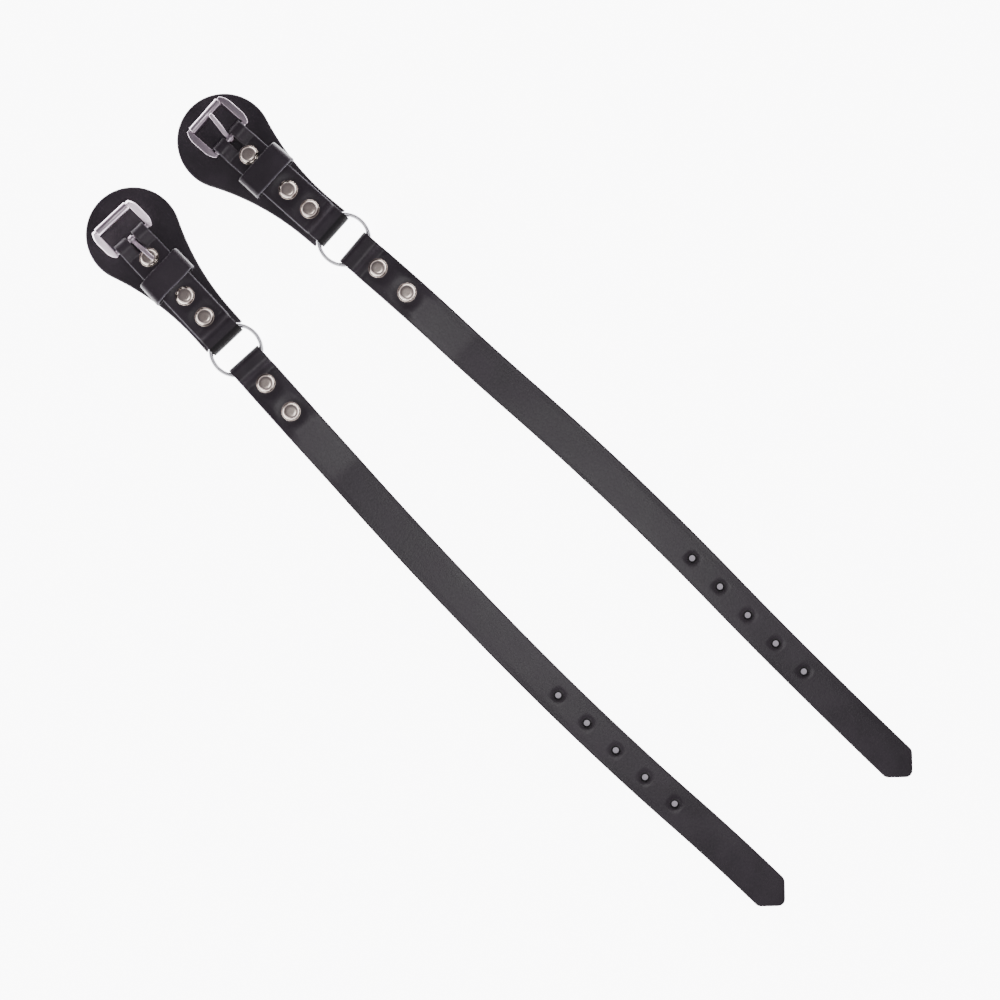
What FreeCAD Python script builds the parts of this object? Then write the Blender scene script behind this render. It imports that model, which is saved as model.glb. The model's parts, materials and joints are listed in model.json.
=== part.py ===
import FreeCAD, Part
import math
import os
import Sketcher
from FreeCAD import Vector

# A pair of leather buckle straps lying side by side. Millimetres and degrees, +Z up, the floor
# at Z = 0, +X from the round pads to the strap tips, left strap on -Y and right strap on +Y.
# Distances called "back" run from the ring's centre along the head towards the round pad.

# Driving dimensions: alias, value, meaning.
dimensions = [
    ("left_ring_x", -141.0, "left ring centre"),
    ("left_ring_y", -38.52, "left ring centre"),
    ("right_ring_x", -142.0, "right ring centre"),
    ("right_ring_y", 37.28, "right ring centre"),
    ("left_head_turn", -1.9, "heading of the left buckle strap"),
    ("right_head_turn", 3.4, "heading of the right buckle strap"),
    ("left_pad_skew", -1.35, "turn of the left pad on its buckle strap"),
    ("right_pad_skew", 1.95, "turn of the right pad on its buckle strap"),
    ("left_strap_turn", -3.1, "heading of the left long strap at its ring"),
    ("right_strap_turn", 5.0, "heading of the right long strap at its ring"),
    ("left_frame_tilt", 45.0, "left buckle frame, raised off the pad"),
    ("right_frame_tilt", 0.0, "right buckle frame, lying over the pad"),
    ("left_tongue_tilt", 157.6, "left tongue, turned back onto its rivet"),
    ("right_tongue_tilt", 36.0, "right tongue, raised above its frame"),
    ("strap_width", 19.0, "width of the buckle strap and the long strap"),
    ("leather", 2.0, "thickness of pads and straps"),
    ("skived", 1.2, "leather thickness in the loop round the ring"),
    ("ring_room", 4.0, "height of the space inside a ring loop"),
    ("loop_end", 4.9, "ring centre to the outside of either loop"),
    ("loop_round", 2.9, "outside corner of a ring loop"),
    ("room_round", 1.5, "inside corner of a ring loop"),
    ("ring_lever", 10.2, "ring centre to the line a loop turns on"),
    ("loop_crown", 13.2, "ring centre to the end of a loop's level top"),
    ("loop_foot", 16.2, "ring centre to where the plies meet"),
    ("slope_round", 2.0, "easing of the leather over the ring and the heel bar"),
    ("ply_parting", 0.3, "step between where plies meet outside and inside a fold"),
    ("ring_mid", 12.45, "radius of the ring's centreline"),
    ("ring_wire", 1.1, "radius of the ring's wire"),
    ("pad_round", 23.4, "radius of the pad's round end"),
    ("pad_back", 76.6, "ring centre to the round end's centre"),
    ("pad_hollow", 130.0, "radius of the pad's hollow sides"),
    ("pad_tail", 23.0, "width of the pad's tail"),
    ("pad_end", 9.2, "ring centre to the tail's end"),
    ("rivet_c", 22.3, "ring centre to the rivet next to the ring"),
    ("rivet_b", 36.4, "ring centre to the rivet in front of the keeper"),
    ("rivet_a", 62.2, "ring centre to the rivet under the tongue"),
    ("ply_stop_ring", 41.5, "end of the under ply from the ring loop"),
    ("ply_stop_buckle", 58.6, "end of the under ply from the buckle loop"),
    ("heel_back", 74.5, "ring centre to the buckle's heel bar"),
    ("heel_level", 6.0, "height of the heel bar"),
    ("buckle_end", 77.9, "ring centre to the outside of the buckle loop"),
    ("heel_room", 3.4, "height of the space round the heel bar"),
    ("heel_skived", 1.4, "leather thickness round the heel bar"),
    ("heel_round", 2.9, "outside corner of the buckle loop"),
    ("heel_room_round", 1.6, "inside corner of the buckle loop"),
    ("heel_crown", 71.6, "ring centre to the end of the buckle loop's level top"),
    ("heel_foot", 67.6, "ring centre to where the plies meet behind the bar"),
    ("slot_width", 4.2, "slot for the tongue"),
    ("slot_round", 1.9, "corners of that slot"),
    ("slot_end", 67.4, "ring centre to the slot's blind end"),
    ("slot_over", 4.0, "slot's cut past the fold"),
    ("left_keeper_back", 49.2, "ring centre to the left keeper's middle"),
    ("right_keeper_back", 50.85, "ring centre to the right keeper's middle"),
    ("keeper_length", 12.7, "keeper along the strap"),
    ("keeper_width", 26.1, "keeper across the strap"),
    ("keeper_low", 3.1, "underside of the keeper"),
    ("keeper_top", 11.1, "top of the keeper"),
    ("keeper_wall", 1.6, "keeper leather"),
    ("keeper_round", 2.4, "outside corners of the keeper"),
    ("cap_radius", 4.75, "rivet cap"),
    ("cap_height", 2.8, "rivet cap above the leather"),
    ("cap_rim", 0.4, "upright rim of a rivet cap"),
    ("base_height", 0.9, "rivet base under the leather"),
    ("base_edge", 0.35, "round edge of a rivet base"),
    ("post_radius", 1.5, "rivet post"),
    ("post_reach", 0.8, "rivet post above the leather"),
    ("rivet_slack", 0.05, "clearance round a rivet post"),
    ("frame_reach", 16.4, "heel bar to roller bar"),
    ("frame_half", 13.7, "half the frame's outside width"),
    ("frame_gap", 10.3, "half the frame's inside width"),
    ("frame_over", 1.3, "side bars past either cross bar"),
    ("frame_thick", 2.6, "thickness of the side bars"),
    ("frame_corner", 4.0, "easing where a side bar turns in"),
    ("frame_far_cut", 4.6, "length over which a side bar turns in to the roller"),
    ("frame_near_cut", 4.2, "length over which it turns in to the heel bar"),
    ("frame_cut_in", 2.6, "how far a side bar turns in"),
    ("frame_end_round", 1.0, "ends of a side bar"),
    ("bar_radius", 1.25, "heel bar and roller bar"),
    ("bar_half", 11.4, "half the length of a cross bar"),
    ("roller_radius", 2.1, "roller"),
    ("roller_length", 19.8, "roller"),
    ("running_slack", 0.06, "clearance of roller and tongue on their bars"),
    ("eye_radius", 2.5, "eye of the tongue"),
    ("tongue_width", 2.6, "tongue"),
    ("tongue_thick", 1.2, "tongue"),
    ("tongue_reach", 16.6, "heel bar to the tongue's tip"),
    ("tongue_root", 0.5, "how far the prong runs into its eye"),
    ("tongue_tip", 0.95, "rounding of the tongue's tip"),
    ("rivet_d", 21.7, "ring centre to the first long-strap rivet"),
    ("rivet_e", 40.3, "ring centre to the second long-strap rivet"),
    ("under_stop", 46.0, "end of the long strap's under ply"),
    ("sag_start", 50.0, "where the long strap starts down to the floor"),
    ("sag_end", 78.0, "where the long strap reaches the floor"),
    ("sag_bend_high", 30.0, "bend at the top of that slope"),
    ("sag_bend_low", 60.0, "bend at its foot"),
    ("hole_first", 232.0, "ring centre to the first punched hole"),
    ("hole_pitch", 19.6, "spacing of the punched holes"),
    ("hole_radius", 1.7, "punched hole"),
    ("tip_round", 3.5, "end of the tip"),
    ("tip_shoulder", 4.0, "shoulders of the tip"),
    ("tip_straight", 14.0, "straight stretch that holds the tip"),
    ("blank_width", 80.0, "width of leather that a long strap is cut from"),
    ("blank_over", 2.0, "length of that leather past the tip"),
    ("cut_depth", 60.0, "length of every straight cut through a piece"),
]
# Each long strap's bends along its middle, from the ring centre: length and turn of each run.
strap_bends = {
    "left": [(90.0, 0.0), (89.0, 2.2), (35.0, 0.9), (103.5, 3.7), (51.5, -2.5)],
    "right": [(71.5, -2.8), (44.4, 1.7), (74.0, -2.7), (64.0, -2.2), (39.4, 1.0), (76.2, 1.2)],
}
hole_count = 5
sides = ("left", "right")
same_place = 0.01

doc = FreeCAD.newDocument("buckle_straps")
sheet = doc.addObject("Spreadsheet::Sheet", "dims")
for row, (alias, value, meaning) in enumerate(dimensions, 1):
    sheet.set("A%d" % row, meaning)
    sheet.set("B%d" % row, repr(value))
    sheet.setAlias("B%d" % row, alias)
doc.recompute()


class Dim:
    # A size that carries both its number and the formula that ties it to the spreadsheet.
    def __init__(self, number, formula):
        self.number = number
        self.formula = formula

    def __add__(self, other):
        other = dim(other)
        return Dim(self.number + other.number, "(%s + %s)" % (self.formula, other.formula))

    def __sub__(self, other):
        other = dim(other)
        return Dim(self.number - other.number, "(%s - %s)" % (self.formula, other.formula))

    def __mul__(self, factor):
        return Dim(self.number * factor, "(%s * %r)" % (self.formula, float(factor)))

    def __neg__(self):
        return self * -1


def dim(value):
    if isinstance(value, Dim):
        return value
    if isinstance(value, str):
        return Dim(float(sheet.get(value)), "dims.%s" % value)
    return Dim(float(value), repr(float(value)))


def placement_formula(x, y, z, axis, angle):
    return ("create(<<placement>>; create(<<vector>>; %s; %s; %s); "
            "create(<<rotation>>; create(<<vector>>; %d; %d; %d); %s))"
            % (x, y, z, axis[0], axis[1], axis[2], angle))


def place(body, side, turn="head_turn", back=None, level=None, tilt=None):
    # Puts a sub-part in its strap's own frame: origin under the ring's centre, +X away from
    # the pad. back, level and tilt then move it to a pivot and turn it about its cross axis.
    formula = placement_formula("dims.%s_ring_x" % side, "dims.%s_ring_y" % side, "0",
                                (0, 0, 1), "dims.%s_%s" % (side, turn))
    if back is not None or level is not None:
        formula += " * " + placement_formula((-dim(back or 0)).formula, "0", dim(level).formula,
                                             (0, 1, 0), dim(tilt or 0).formula)
    body.setExpression("Placement", formula)


def new_body(label):
    body = doc.addObject("PartDesign::Body", label)
    body.Label = label
    return body


def new_sketch(body, name, role):
    plane = [part for part in body.Origin.OriginFeatures if part.Role == role][0]
    sketch = body.newObject("Sketcher::SketchObject", name)
    sketch.AttachmentSupport = (plane, [""])
    sketch.MapMode = "FlatFace"
    return sketch


def bind(sketch, constraint, size):
    index = sketch.addConstraint(constraint)
    sketch.setExpression("Constraints[%d]" % index, dim(size).formula)


def bind_point(sketch, shape, end, x, y):
    # Holds one point of a shape at sheet distances from the sketch's axes, or on an axis.
    for kind, value, axis in (("DistanceX", dim(x), -2), ("DistanceY", dim(y), -1)):
        if value.number == 0:
            sketch.addConstraint(Sketcher.Constraint("PointOnObject", shape, end, axis))
        else:
            bind(sketch, Sketcher.Constraint(kind, -1, 1, shape, end, value.number), value)


def draw_circle(sketch, x, y, radius):
    centre = Vector(dim(x).number, dim(y).number, 0)
    ring = sketch.addGeometry(Part.Circle(centre, Vector(0, 0, 1), dim(radius).number), False)
    bind(sketch, Sketcher.Constraint("Radius", ring, dim(radius).number), radius)
    bind_point(sketch, ring, 3, x, y)


def corner_cuts(points, rounds):
    # Where each corner's rounding starts and ends, and the middle of its arc.
    cuts = []
    for i, radius in enumerate(rounds):
        before = (points[i - 1] - points[i]).normalize()
        after = (points[(i + 1) % len(points)] - points[i]).normalize()
        half = before.getAngle(after) / 2
        reach = radius / math.tan(half)
        middle = points[i] + (before + after).normalize() * (radius / math.sin(half) - radius)
        cuts.append((points[i] + before * reach, middle, points[i] + after * reach))
    return cuts


def draw_outline(sketch, corners):
    # A closed outline of straight sides with corners (x, y, rounding); a rounding is a tangent arc.
    spots = [(dim(x).number, dim(y).number, dim(r).number) for x, y, r in corners]
    cuts = corner_cuts([Vector(x, y, 0) for x, y, r in spots], [r for x, y, r in spots])
    shapes = []
    for i, (start, middle, end) in enumerate(cuts):
        if spots[i][2] > 0:
            shapes.append(Part.Arc(start, middle, end))
        shapes.append(Part.LineSegment(end, cuts[(i + 1) % len(cuts)][0]))
    sketch.addGeometry(shapes, False)


def draw_box(sketch, left, low, right, high, rounding=0):
    # An upright rectangle held by the sheet: each side's line at its own distance.
    sizes = [dim(left), dim(low), dim(right), dim(high)]
    x0, y0, x1, y1 = [size.number for size in sizes]
    radius = dim(rounding).number
    points = [Vector(x0, y0, 0), Vector(x1, y0, 0), Vector(x1, y1, 0), Vector(x0, y1, 0)]
    cuts = corner_cuts(points, [radius] * 4)
    lines = [sketch.addGeometry(Part.LineSegment(cuts[i][2], cuts[(i + 1) % 4][0]), False)
             for i in range(4)]
    rules = [Sketcher.Constraint(("Horizontal", "Vertical")[i % 2], line) for i, line in enumerate(lines)]
    held = [("DistanceY", lines[0], sizes[1]), ("DistanceX", lines[1], sizes[2]),
            ("DistanceY", lines[2], sizes[3]), ("DistanceX", lines[3], sizes[0])]
    formulas = []
    if radius > 0:
        turns = [sketch.addGeometry(Part.Arc(*cuts[i]), False) for i in range(4)]
        for i, turn in enumerate(turns):
            arc = sketch.Geometry[turn]
            first, last = (1, 2) if (arc.StartPoint - cuts[i][0]).Length < 1e-6 else (2, 1)
            rules.append(Sketcher.Constraint("Tangent", lines[i - 1], 2, turn, first))
            rules.append(Sketcher.Constraint("Tangent", turn, last, lines[i], 1))
            formulas.append((len(rules), dim(rounding)))
            rules.append(Sketcher.Constraint("Radius", turn, radius))
    else:
        rules += [Sketcher.Constraint("Coincident", lines[i - 1], 2, lines[i], 1) for i in range(4)]
    for kind, line, size in held:
        if size.number == 0:
            rules.append(Sketcher.Constraint("PointOnObject", line, 1, -1 if kind == "DistanceY" else -2))
        else:
            formulas.append((len(rules), size))
            rules.append(Sketcher.Constraint(kind, -1, 1, line, 1, size.number))
    first_rule = sketch.ConstraintCount
    sketch.addConstraint(rules)
    for index, size in formulas:
        sketch.setExpression("Constraints[%d]" % (first_rule + index), size.formula)


def pad_across(body, sketch, name, length):
    feature = body.newObject("PartDesign::Pad", name)
    feature.Profile = sketch
    feature.SideType = "Symmetric"
    feature.setExpression("Length", dim(length).formula)
    return feature


def cut_through(body, sketch, name):
    feature = body.newObject("PartDesign::Pocket", name)
    feature.Profile = sketch
    feature.SideType = "Symmetric"
    feature.Type = "Length"
    feature.setExpression("Length", "dims.cut_depth")
    return feature


def round_edges(body, base, edges, radius):
    feature = body.newObject("PartDesign::Fillet", "rounding_" + body.Label)
    feature.Base = (base, ["Edge%d" % i for i in edges])
    feature.setExpression("Radius", dim(radius).formula)
    doc.recompute()
    return feature


def revolve(body, sketch, name):
    feature = body.newObject("PartDesign::Revolution", name)
    feature.Profile = sketch
    feature.ReferenceAxis = (sketch, ["V_Axis"])
    feature.Angle = 360
    return feature


leather = dim("leather")
pad_low = dim("base_height")
pad_top = pad_low + leather
head_top = pad_top + leather * 2
strap_low = dim("base_height")
strap_mid = strap_low + leather
strap_top = strap_low + leather * 2
half_strap = dim("strap_width") * 0.5
post_hole = dim("post_radius") + dim("rivet_slack")
head_rivets = {"tongue": dim("rivet_a"), "keeper": dim("rivet_b"), "ring": dim("rivet_c")}
strap_rivets = {"strap_inner": dim("rivet_d"), "strap_outer": dim("rivet_e")}


def make_pad(side):
    # Teardrop of flat leather: a round end, hollow sides tangent to it and a parallel tail.
    body = new_body(side + "_pad")
    sketch = new_sketch(body, "outline_" + body.Label, "XY_Plane")
    radius = dim("pad_round").number
    hollow = dim("pad_hollow").number
    tail = dim("pad_tail").number / 2
    back = -dim("pad_back").number
    end = -dim("pad_end").number
    rise = tail + hollow
    waist = back + math.sqrt((radius + hollow) ** 2 - rise ** 2)
    lean = math.atan2(rise, waist - back)
    axis = Vector(0, 0, 1)
    above = Part.Circle(Vector(waist, rise, 0), axis, hollow)
    below = Part.Circle(Vector(waist, -rise, 0), axis, hollow)
    shapes = [
        Part.ArcOfCircle(Part.Circle(Vector(back, 0, 0), axis, radius), lean, 2 * math.pi - lean),
        Part.ArcOfCircle(above, math.pi + lean, 1.5 * math.pi),
        Part.LineSegment(Vector(waist, tail, 0), Vector(end, tail, 0)),
        Part.LineSegment(Vector(end, tail, 0), Vector(end, -tail, 0)),
        Part.LineSegment(Vector(end, -tail, 0), Vector(waist, -tail, 0)),
        Part.ArcOfCircle(below, 0.5 * math.pi, math.pi - lean)]
    round_end, upper, top, close, bottom, lower = sketch.addGeometry(shapes, False)
    sketch.addConstraint([
        Sketcher.Constraint("Tangent", round_end, 1, upper, 1),
        Sketcher.Constraint("Tangent", upper, 2, top, 1),
        Sketcher.Constraint("Coincident", top, 2, close, 1),
        Sketcher.Constraint("Coincident", close, 2, bottom, 1),
        Sketcher.Constraint("Tangent", bottom, 2, lower, 1),
        Sketcher.Constraint("Tangent", lower, 2, round_end, 2),
        Sketcher.Constraint("Horizontal", top),
        Sketcher.Constraint("Horizontal", bottom),
        Sketcher.Constraint("Symmetric", close, 1, close, 2, -1),
        Sketcher.Constraint("PointOnObject", round_end, 3, -1),
        Sketcher.Constraint("Equal", upper, lower)])
    bind(sketch, Sketcher.Constraint("Radius", round_end, radius), "pad_round")
    bind(sketch, Sketcher.Constraint("Radius", upper, hollow), "pad_hollow")
    bind(sketch, Sketcher.Constraint("DistanceX", -1, 1, round_end, 3, back), -dim("pad_back"))
    bind(sketch, Sketcher.Constraint("DistanceX", -1, 1, close, 1, end), -dim("pad_end"))
    bind(sketch, Sketcher.Constraint("Distance", close, 2 * tail), "pad_tail")
    sheet_of_leather = body.newObject("PartDesign::Pad", "leather_" + body.Label)
    sheet_of_leather.Profile = sketch
    sheet_of_leather.setExpression("Length", leather.formula)
    # The posts stand on the buckle strap's line, which the pad is turned away from.
    skew = dim(side + "_pad_skew")
    holes = new_sketch(body, "holes_" + body.Label, "XY_Plane")
    for distance in head_rivets.values():
        turn = math.radians(skew.number)
        both = (distance.formula, skew.formula)
        x = Dim(-distance.number * math.cos(turn), "(-%s * cos(%s * 1deg))" % both)
        y = Dim(distance.number * math.sin(turn), "(%s * sin(%s * 1deg))" % both)
        draw_circle(holes, x, y, post_hole)
    cut_through(body, holes, "post_holes_" + body.Label)
    heading = "(dims.%s_head_turn + dims.%s_pad_skew)" % (side, side)
    body.setExpression("Placement", placement_formula("dims.%s_ring_x" % side, "dims.%s_ring_y" % side,
                                                      pad_low.formula, (0, 0, 1), heading))
    return body


def ring_loop(low, direction, top):
    # Corners of a loop of skived leather folded round the ring, from its underside at the fold
    # to where its plies meet, and of the space inside it. direction is 1 or -1 along X.
    skived = dim("skived")
    room_low = low + skived
    room_top = room_low + dim("ring_room")
    crown = dim("loop_crown") * direction
    end = dim("loop_end") * direction
    foot = dim("loop_foot") * direction
    outside = [(end, low, "loop_round"), (end, room_top + skived, "loop_round"),
               (crown, room_top + skived, "slope_round"), (foot, top, "slope_round")]
    inner = (dim("loop_end") + skived) * direction
    seam = low + leather
    wedge = (dim("loop_foot") - dim("ply_parting")) * direction
    inside = [(inner, room_low, "room_round"), (inner, room_top, "room_round"),
              (crown, room_top, "slope_round"), (wedge, seam, 0), (crown, room_low, "slope_round")]
    return outside, inside


def make_buckle_strap(side):
    # Leather folded back under itself at both ends: round the heel bar and round the ring.
    # Between the two under plies is the gap that the keeper passes through.
    body = new_body(side + "_buckle_strap")
    side_view = new_sketch(body, "side_view_" + body.Label, "XZ_Plane")
    outside, room = ring_loop(pad_top, -1, head_top)
    level = dim("heel_level")
    half_room = dim("heel_room") * 0.5
    skin = dim("heel_skived")
    low = pad_top
    high = level + half_room + skin
    end = -dim("buckle_end")
    seam = pad_top + leather
    outline = [(-dim("ply_stop_buckle"), low, 0), (end, low, "heel_round"), (end, high, "heel_round"),
               (-dim("heel_crown"), high, "slope_round"), (-dim("heel_foot"), head_top, "slope_round")]
    outline += list(reversed(outside))
    outline += [(-dim("ply_stop_ring"), low, 0), (-dim("ply_stop_ring"), seam, 0),
                (-dim("ply_stop_buckle"), seam, 0)]
    draw_outline(side_view, outline)
    draw_outline(side_view, room)
    draw_outline(side_view, [(end + skin, level - half_room, "heel_room_round"),
                             (end + skin, level + half_room, "heel_room_round"),
                             (-dim("heel_crown"), level + half_room, "slope_round"),
                             (-dim("heel_foot") - dim("ply_parting"), seam, 0),
                             (-dim("heel_crown"), level - half_room, "slope_round")])
    pad_across(body, side_view, "folded_" + body.Label, "strap_width")
    holes = new_sketch(body, "holes_" + body.Label, "XY_Plane")
    for distance in head_rivets.values():
        draw_circle(holes, -distance, 0, post_hole)
    cut_through(body, holes, "post_holes_" + body.Label)
    slot = new_sketch(body, "slot_" + body.Label, "XY_Plane")
    half_slot = dim("slot_width") * 0.5
    draw_box(slot, end - dim("slot_over"), -half_slot, -dim("slot_end"), half_slot, "slot_round")
    cut_through(body, slot, "tongue_slot_" + body.Label)
    place(body, side)
    return body


def make_keeper(side):
    # Closed leather band round the buckle strap's upper ply, with room for the strap's tail.
    body = new_body(side + "_keeper")
    sketch = new_sketch(body, "band_" + body.Label, "YZ_Plane")
    half = dim("keeper_width") * 0.5
    low = dim("keeper_low")
    top = dim("keeper_top")
    wall = dim("keeper_wall")
    draw_box(sketch, -half, low, half, top, "keeper_round")
    inner = half - wall
    draw_box(sketch, -inner, low + wall, inner, top - wall, dim("keeper_round") - wall)
    pad_across(body, sketch, "loop_" + body.Label, "keeper_length")
    place(body, side, back=side + "_keeper_back", level=0)
    return body


def make_buckle_frame(side):
    # Two side bars that turn in at both ends, joined by the heel bar and the roller's bar.
    # The heel bar's axis is the body's own Y axis.
    body = new_body(side + "_buckle_frame")
    bars = new_sketch(body, "side_bars_" + body.Label, "XY_Plane")
    near = dim("frame_over")
    far = -dim("frame_reach") - dim("frame_over")
    for way in (1, -1):
        inner = dim("frame_gap") * way
        outer = dim("frame_half") * way
        turned_in = (dim("frame_half") - dim("frame_cut_in")) * way
        draw_outline(bars, [(far, inner, 0), (far, turned_in, "frame_end_round"),
                            (far + dim("frame_far_cut"), outer, "frame_corner"),
                            (near - dim("frame_near_cut"), outer, "frame_corner"),
                            (near, turned_in, "frame_end_round"), (near, inner, 0)])
    pad_across(body, bars, "bars_" + body.Label, "frame_thick")
    cross = new_sketch(body, "cross_bars_" + body.Label, "XZ_Plane")
    draw_circle(cross, 0, 0, "bar_radius")
    draw_circle(cross, -dim("frame_reach"), 0, "bar_radius")
    pad_across(body, cross, "bars_across_" + body.Label, dim("bar_half") * 2)
    place(body, side, back="heel_back", level="heel_level", tilt=side + "_frame_tilt")
    return body


def make_roller(side):
    # Rolled tube that turns on the far bar; it sits in the frame's own axes.
    body = new_body(side + "_roller")
    sketch = new_sketch(body, "section_" + body.Label, "XZ_Plane")
    draw_circle(sketch, -dim("frame_reach"), 0, "roller_radius")
    draw_circle(sketch, -dim("frame_reach"), 0, dim("bar_radius") + dim("running_slack"))
    pad_across(body, sketch, "tube_" + body.Label, "roller_length")
    place(body, side, back="heel_back", level="heel_level", tilt=side + "_frame_tilt")
    return body


def make_tongue(side):
    # Flat prong with an eye rolled round the heel bar.
    body = new_body(side + "_tongue")
    eye = new_sketch(body, "eye_" + body.Label, "XZ_Plane")
    draw_circle(eye, 0, 0, "eye_radius")
    draw_circle(eye, 0, 0, dim("bar_radius") + dim("running_slack"))
    pad_across(body, eye, "rolled_" + body.Label, "tongue_width")
    prong = new_sketch(body, "prong_" + body.Label, "XY_Plane")
    half = dim("tongue_width") * 0.5
    root = -dim("eye_radius") + dim("tongue_root")
    tip = -dim("tongue_reach")
    draw_box(prong, tip, -half, root, half)
    flat = pad_across(body, prong, "flat_" + body.Label, "tongue_thick")
    doc.recompute()
    corners = [i for i, edge in enumerate(flat.Shape.Edges, 1)
               if edge.BoundBox.XMax < tip.number + same_place and edge.BoundBox.YLength < same_place]
    round_edges(body, flat, corners, "tongue_tip")
    place(body, side, back="heel_back", level="heel_level", tilt=side + "_tongue_tilt")
    return body


def make_ring(side):
    # Round wire ring, one side in each loop, tipped because the two loops differ in height.
    ring = doc.addObject("Part::Torus", side + "_ring")
    ring.Label = side + "_ring"
    ring.setExpression("Radius1", "dims.ring_mid")
    ring.setExpression("Radius2", "dims.ring_wire")
    half_room = dim("skived") + dim("ring_room") * 0.5
    head_level = pad_top + half_room
    strap_level = strap_low + half_room
    middle = (head_level + strap_level) * 0.5
    fall = "atan(%s / (2 * dims.ring_lever))" % (head_level - strap_level).formula
    ring.setExpression("Placement", placement_formula(
        "dims.%s_ring_x" % side, "dims.%s_ring_y" % side, middle.formula, (0, 0, 1),
        "dims.%s_head_turn" % side) + " * " + placement_formula("0", "0", "0", (0, 1, 0), fall))
    return ring


def make_rivet_cap(side, name, distance, level, turn):
    # Domed cap with a blind hole that takes the post.
    body = new_body("%s_%s_rivet_cap" % (side, name))
    sketch = new_sketch(body, "section_" + body.Label, "XZ_Plane")
    radius = dim("cap_radius")
    bore = post_hole
    inner = dim("post_reach") + dim("rivet_slack")
    rim = dim("cap_rim")
    top = dim("cap_height")
    rise = top.number - rim.number
    ball = (radius.number ** 2 + rise ** 2) / (2 * rise)
    centre = Vector(0, top.number - ball, 0)
    low_angle = math.atan2(rim.number - centre.y, radius.number)
    dome = Part.ArcOfCircle(Part.Circle(centre, Vector(0, 0, 1), ball), low_angle, math.pi / 2)
    spots = [(dim(0), top), (dim(0), inner), (bore, inner), (bore, dim(0)), (radius, dim(0)), (radius, rim)]
    points = [Vector(x.number, y.number, 0) for x, y in spots]
    lines = [sketch.addGeometry(Part.LineSegment(points[i], points[i + 1]), False) for i in range(5)]
    arc = sketch.addGeometry(dome, False)
    for i in range(4):
        sketch.addConstraint(Sketcher.Constraint("Coincident", lines[i], 2, lines[i + 1], 1))
    sketch.addConstraint(Sketcher.Constraint("Coincident", lines[4], 2, arc, 1))
    sketch.addConstraint(Sketcher.Constraint("Coincident", arc, 2, lines[0], 1))
    sketch.addConstraint(Sketcher.Constraint("PointOnObject", arc, 3, -2))
    for i in range(5):
        bind_point(sketch, lines[i], 1, *spots[i])
    bind_point(sketch, lines[4], 2, *spots[5])
    revolve(body, sketch, "dome_" + body.Label)
    place(body, side, turn, back=distance, level=level)
    return body


def make_rivet_bases(side, name, distances, level, turn):
    # The rivets' lower halves, one solid each: a flat base and the post through the leather.
    body = new_body("%s_%s_rivet_bases" % (side, name))
    height = dim("base_height")
    flat = new_sketch(body, "bases_" + body.Label, "XY_Plane")
    posts = new_sketch(body, "posts_" + body.Label, "XY_Plane")
    for distance in distances:
        draw_circle(flat, -distance, 0, "cap_radius")
        draw_circle(posts, -distance, 0, "post_radius")
    discs = body.newObject("PartDesign::Pad", "discs_" + body.Label)
    discs.Profile = flat
    discs.setExpression("Length", height.formula)
    doc.recompute()
    rims = [i for i, edge in enumerate(discs.Shape.Edges, 1)
            if edge.BoundBox.ZLength < same_place and edge.BoundBox.ZMax < same_place]
    round_edges(body, discs, rims, "base_edge")
    shanks = body.newObject("PartDesign::Pad", "shanks_" + body.Label)
    shanks.Profile = posts
    shanks.setExpression("Length", (level + dim("post_reach")).formula)
    place(body, side, turn)
    return body


def run_point(side, distance, offset):
    # Point of the long strap's plan at a distance along its middle, offset to its left.
    at = Vector(0, 0, 0)
    heading = 0.0
    left = distance
    for length, turn in strap_bends[side]:
        step = min(left, length)
        bend = math.radians(turn) * step / length
        chord = step if bend == 0 else step * math.sin(bend / 2) / (bend / 2)
        middle = heading + bend / 2
        at = at + Vector(math.cos(middle), math.sin(middle), 0) * chord
        heading += bend
        left -= step
        if left <= 0:
            break
    if left > 0:
        at = at + Vector(math.cos(heading), math.sin(heading), 0) * left
    return at + Vector(-math.sin(heading), math.cos(heading), 0) * offset, heading


def plan_edges(side, offset):
    # One long edge of the strap, an arc or a straight line for each run, and its whole length.
    edges = []
    done = 0.0
    for length, turn in strap_bends[side]:
        ends = [run_point(side, done + length * part, offset)[0] for part in (0, 0.5, 1)]
        edges.append(Part.LineSegment(ends[0], ends[2]) if turn == 0 else Part.Arc(*ends))
        done += length
    return edges, done


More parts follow.
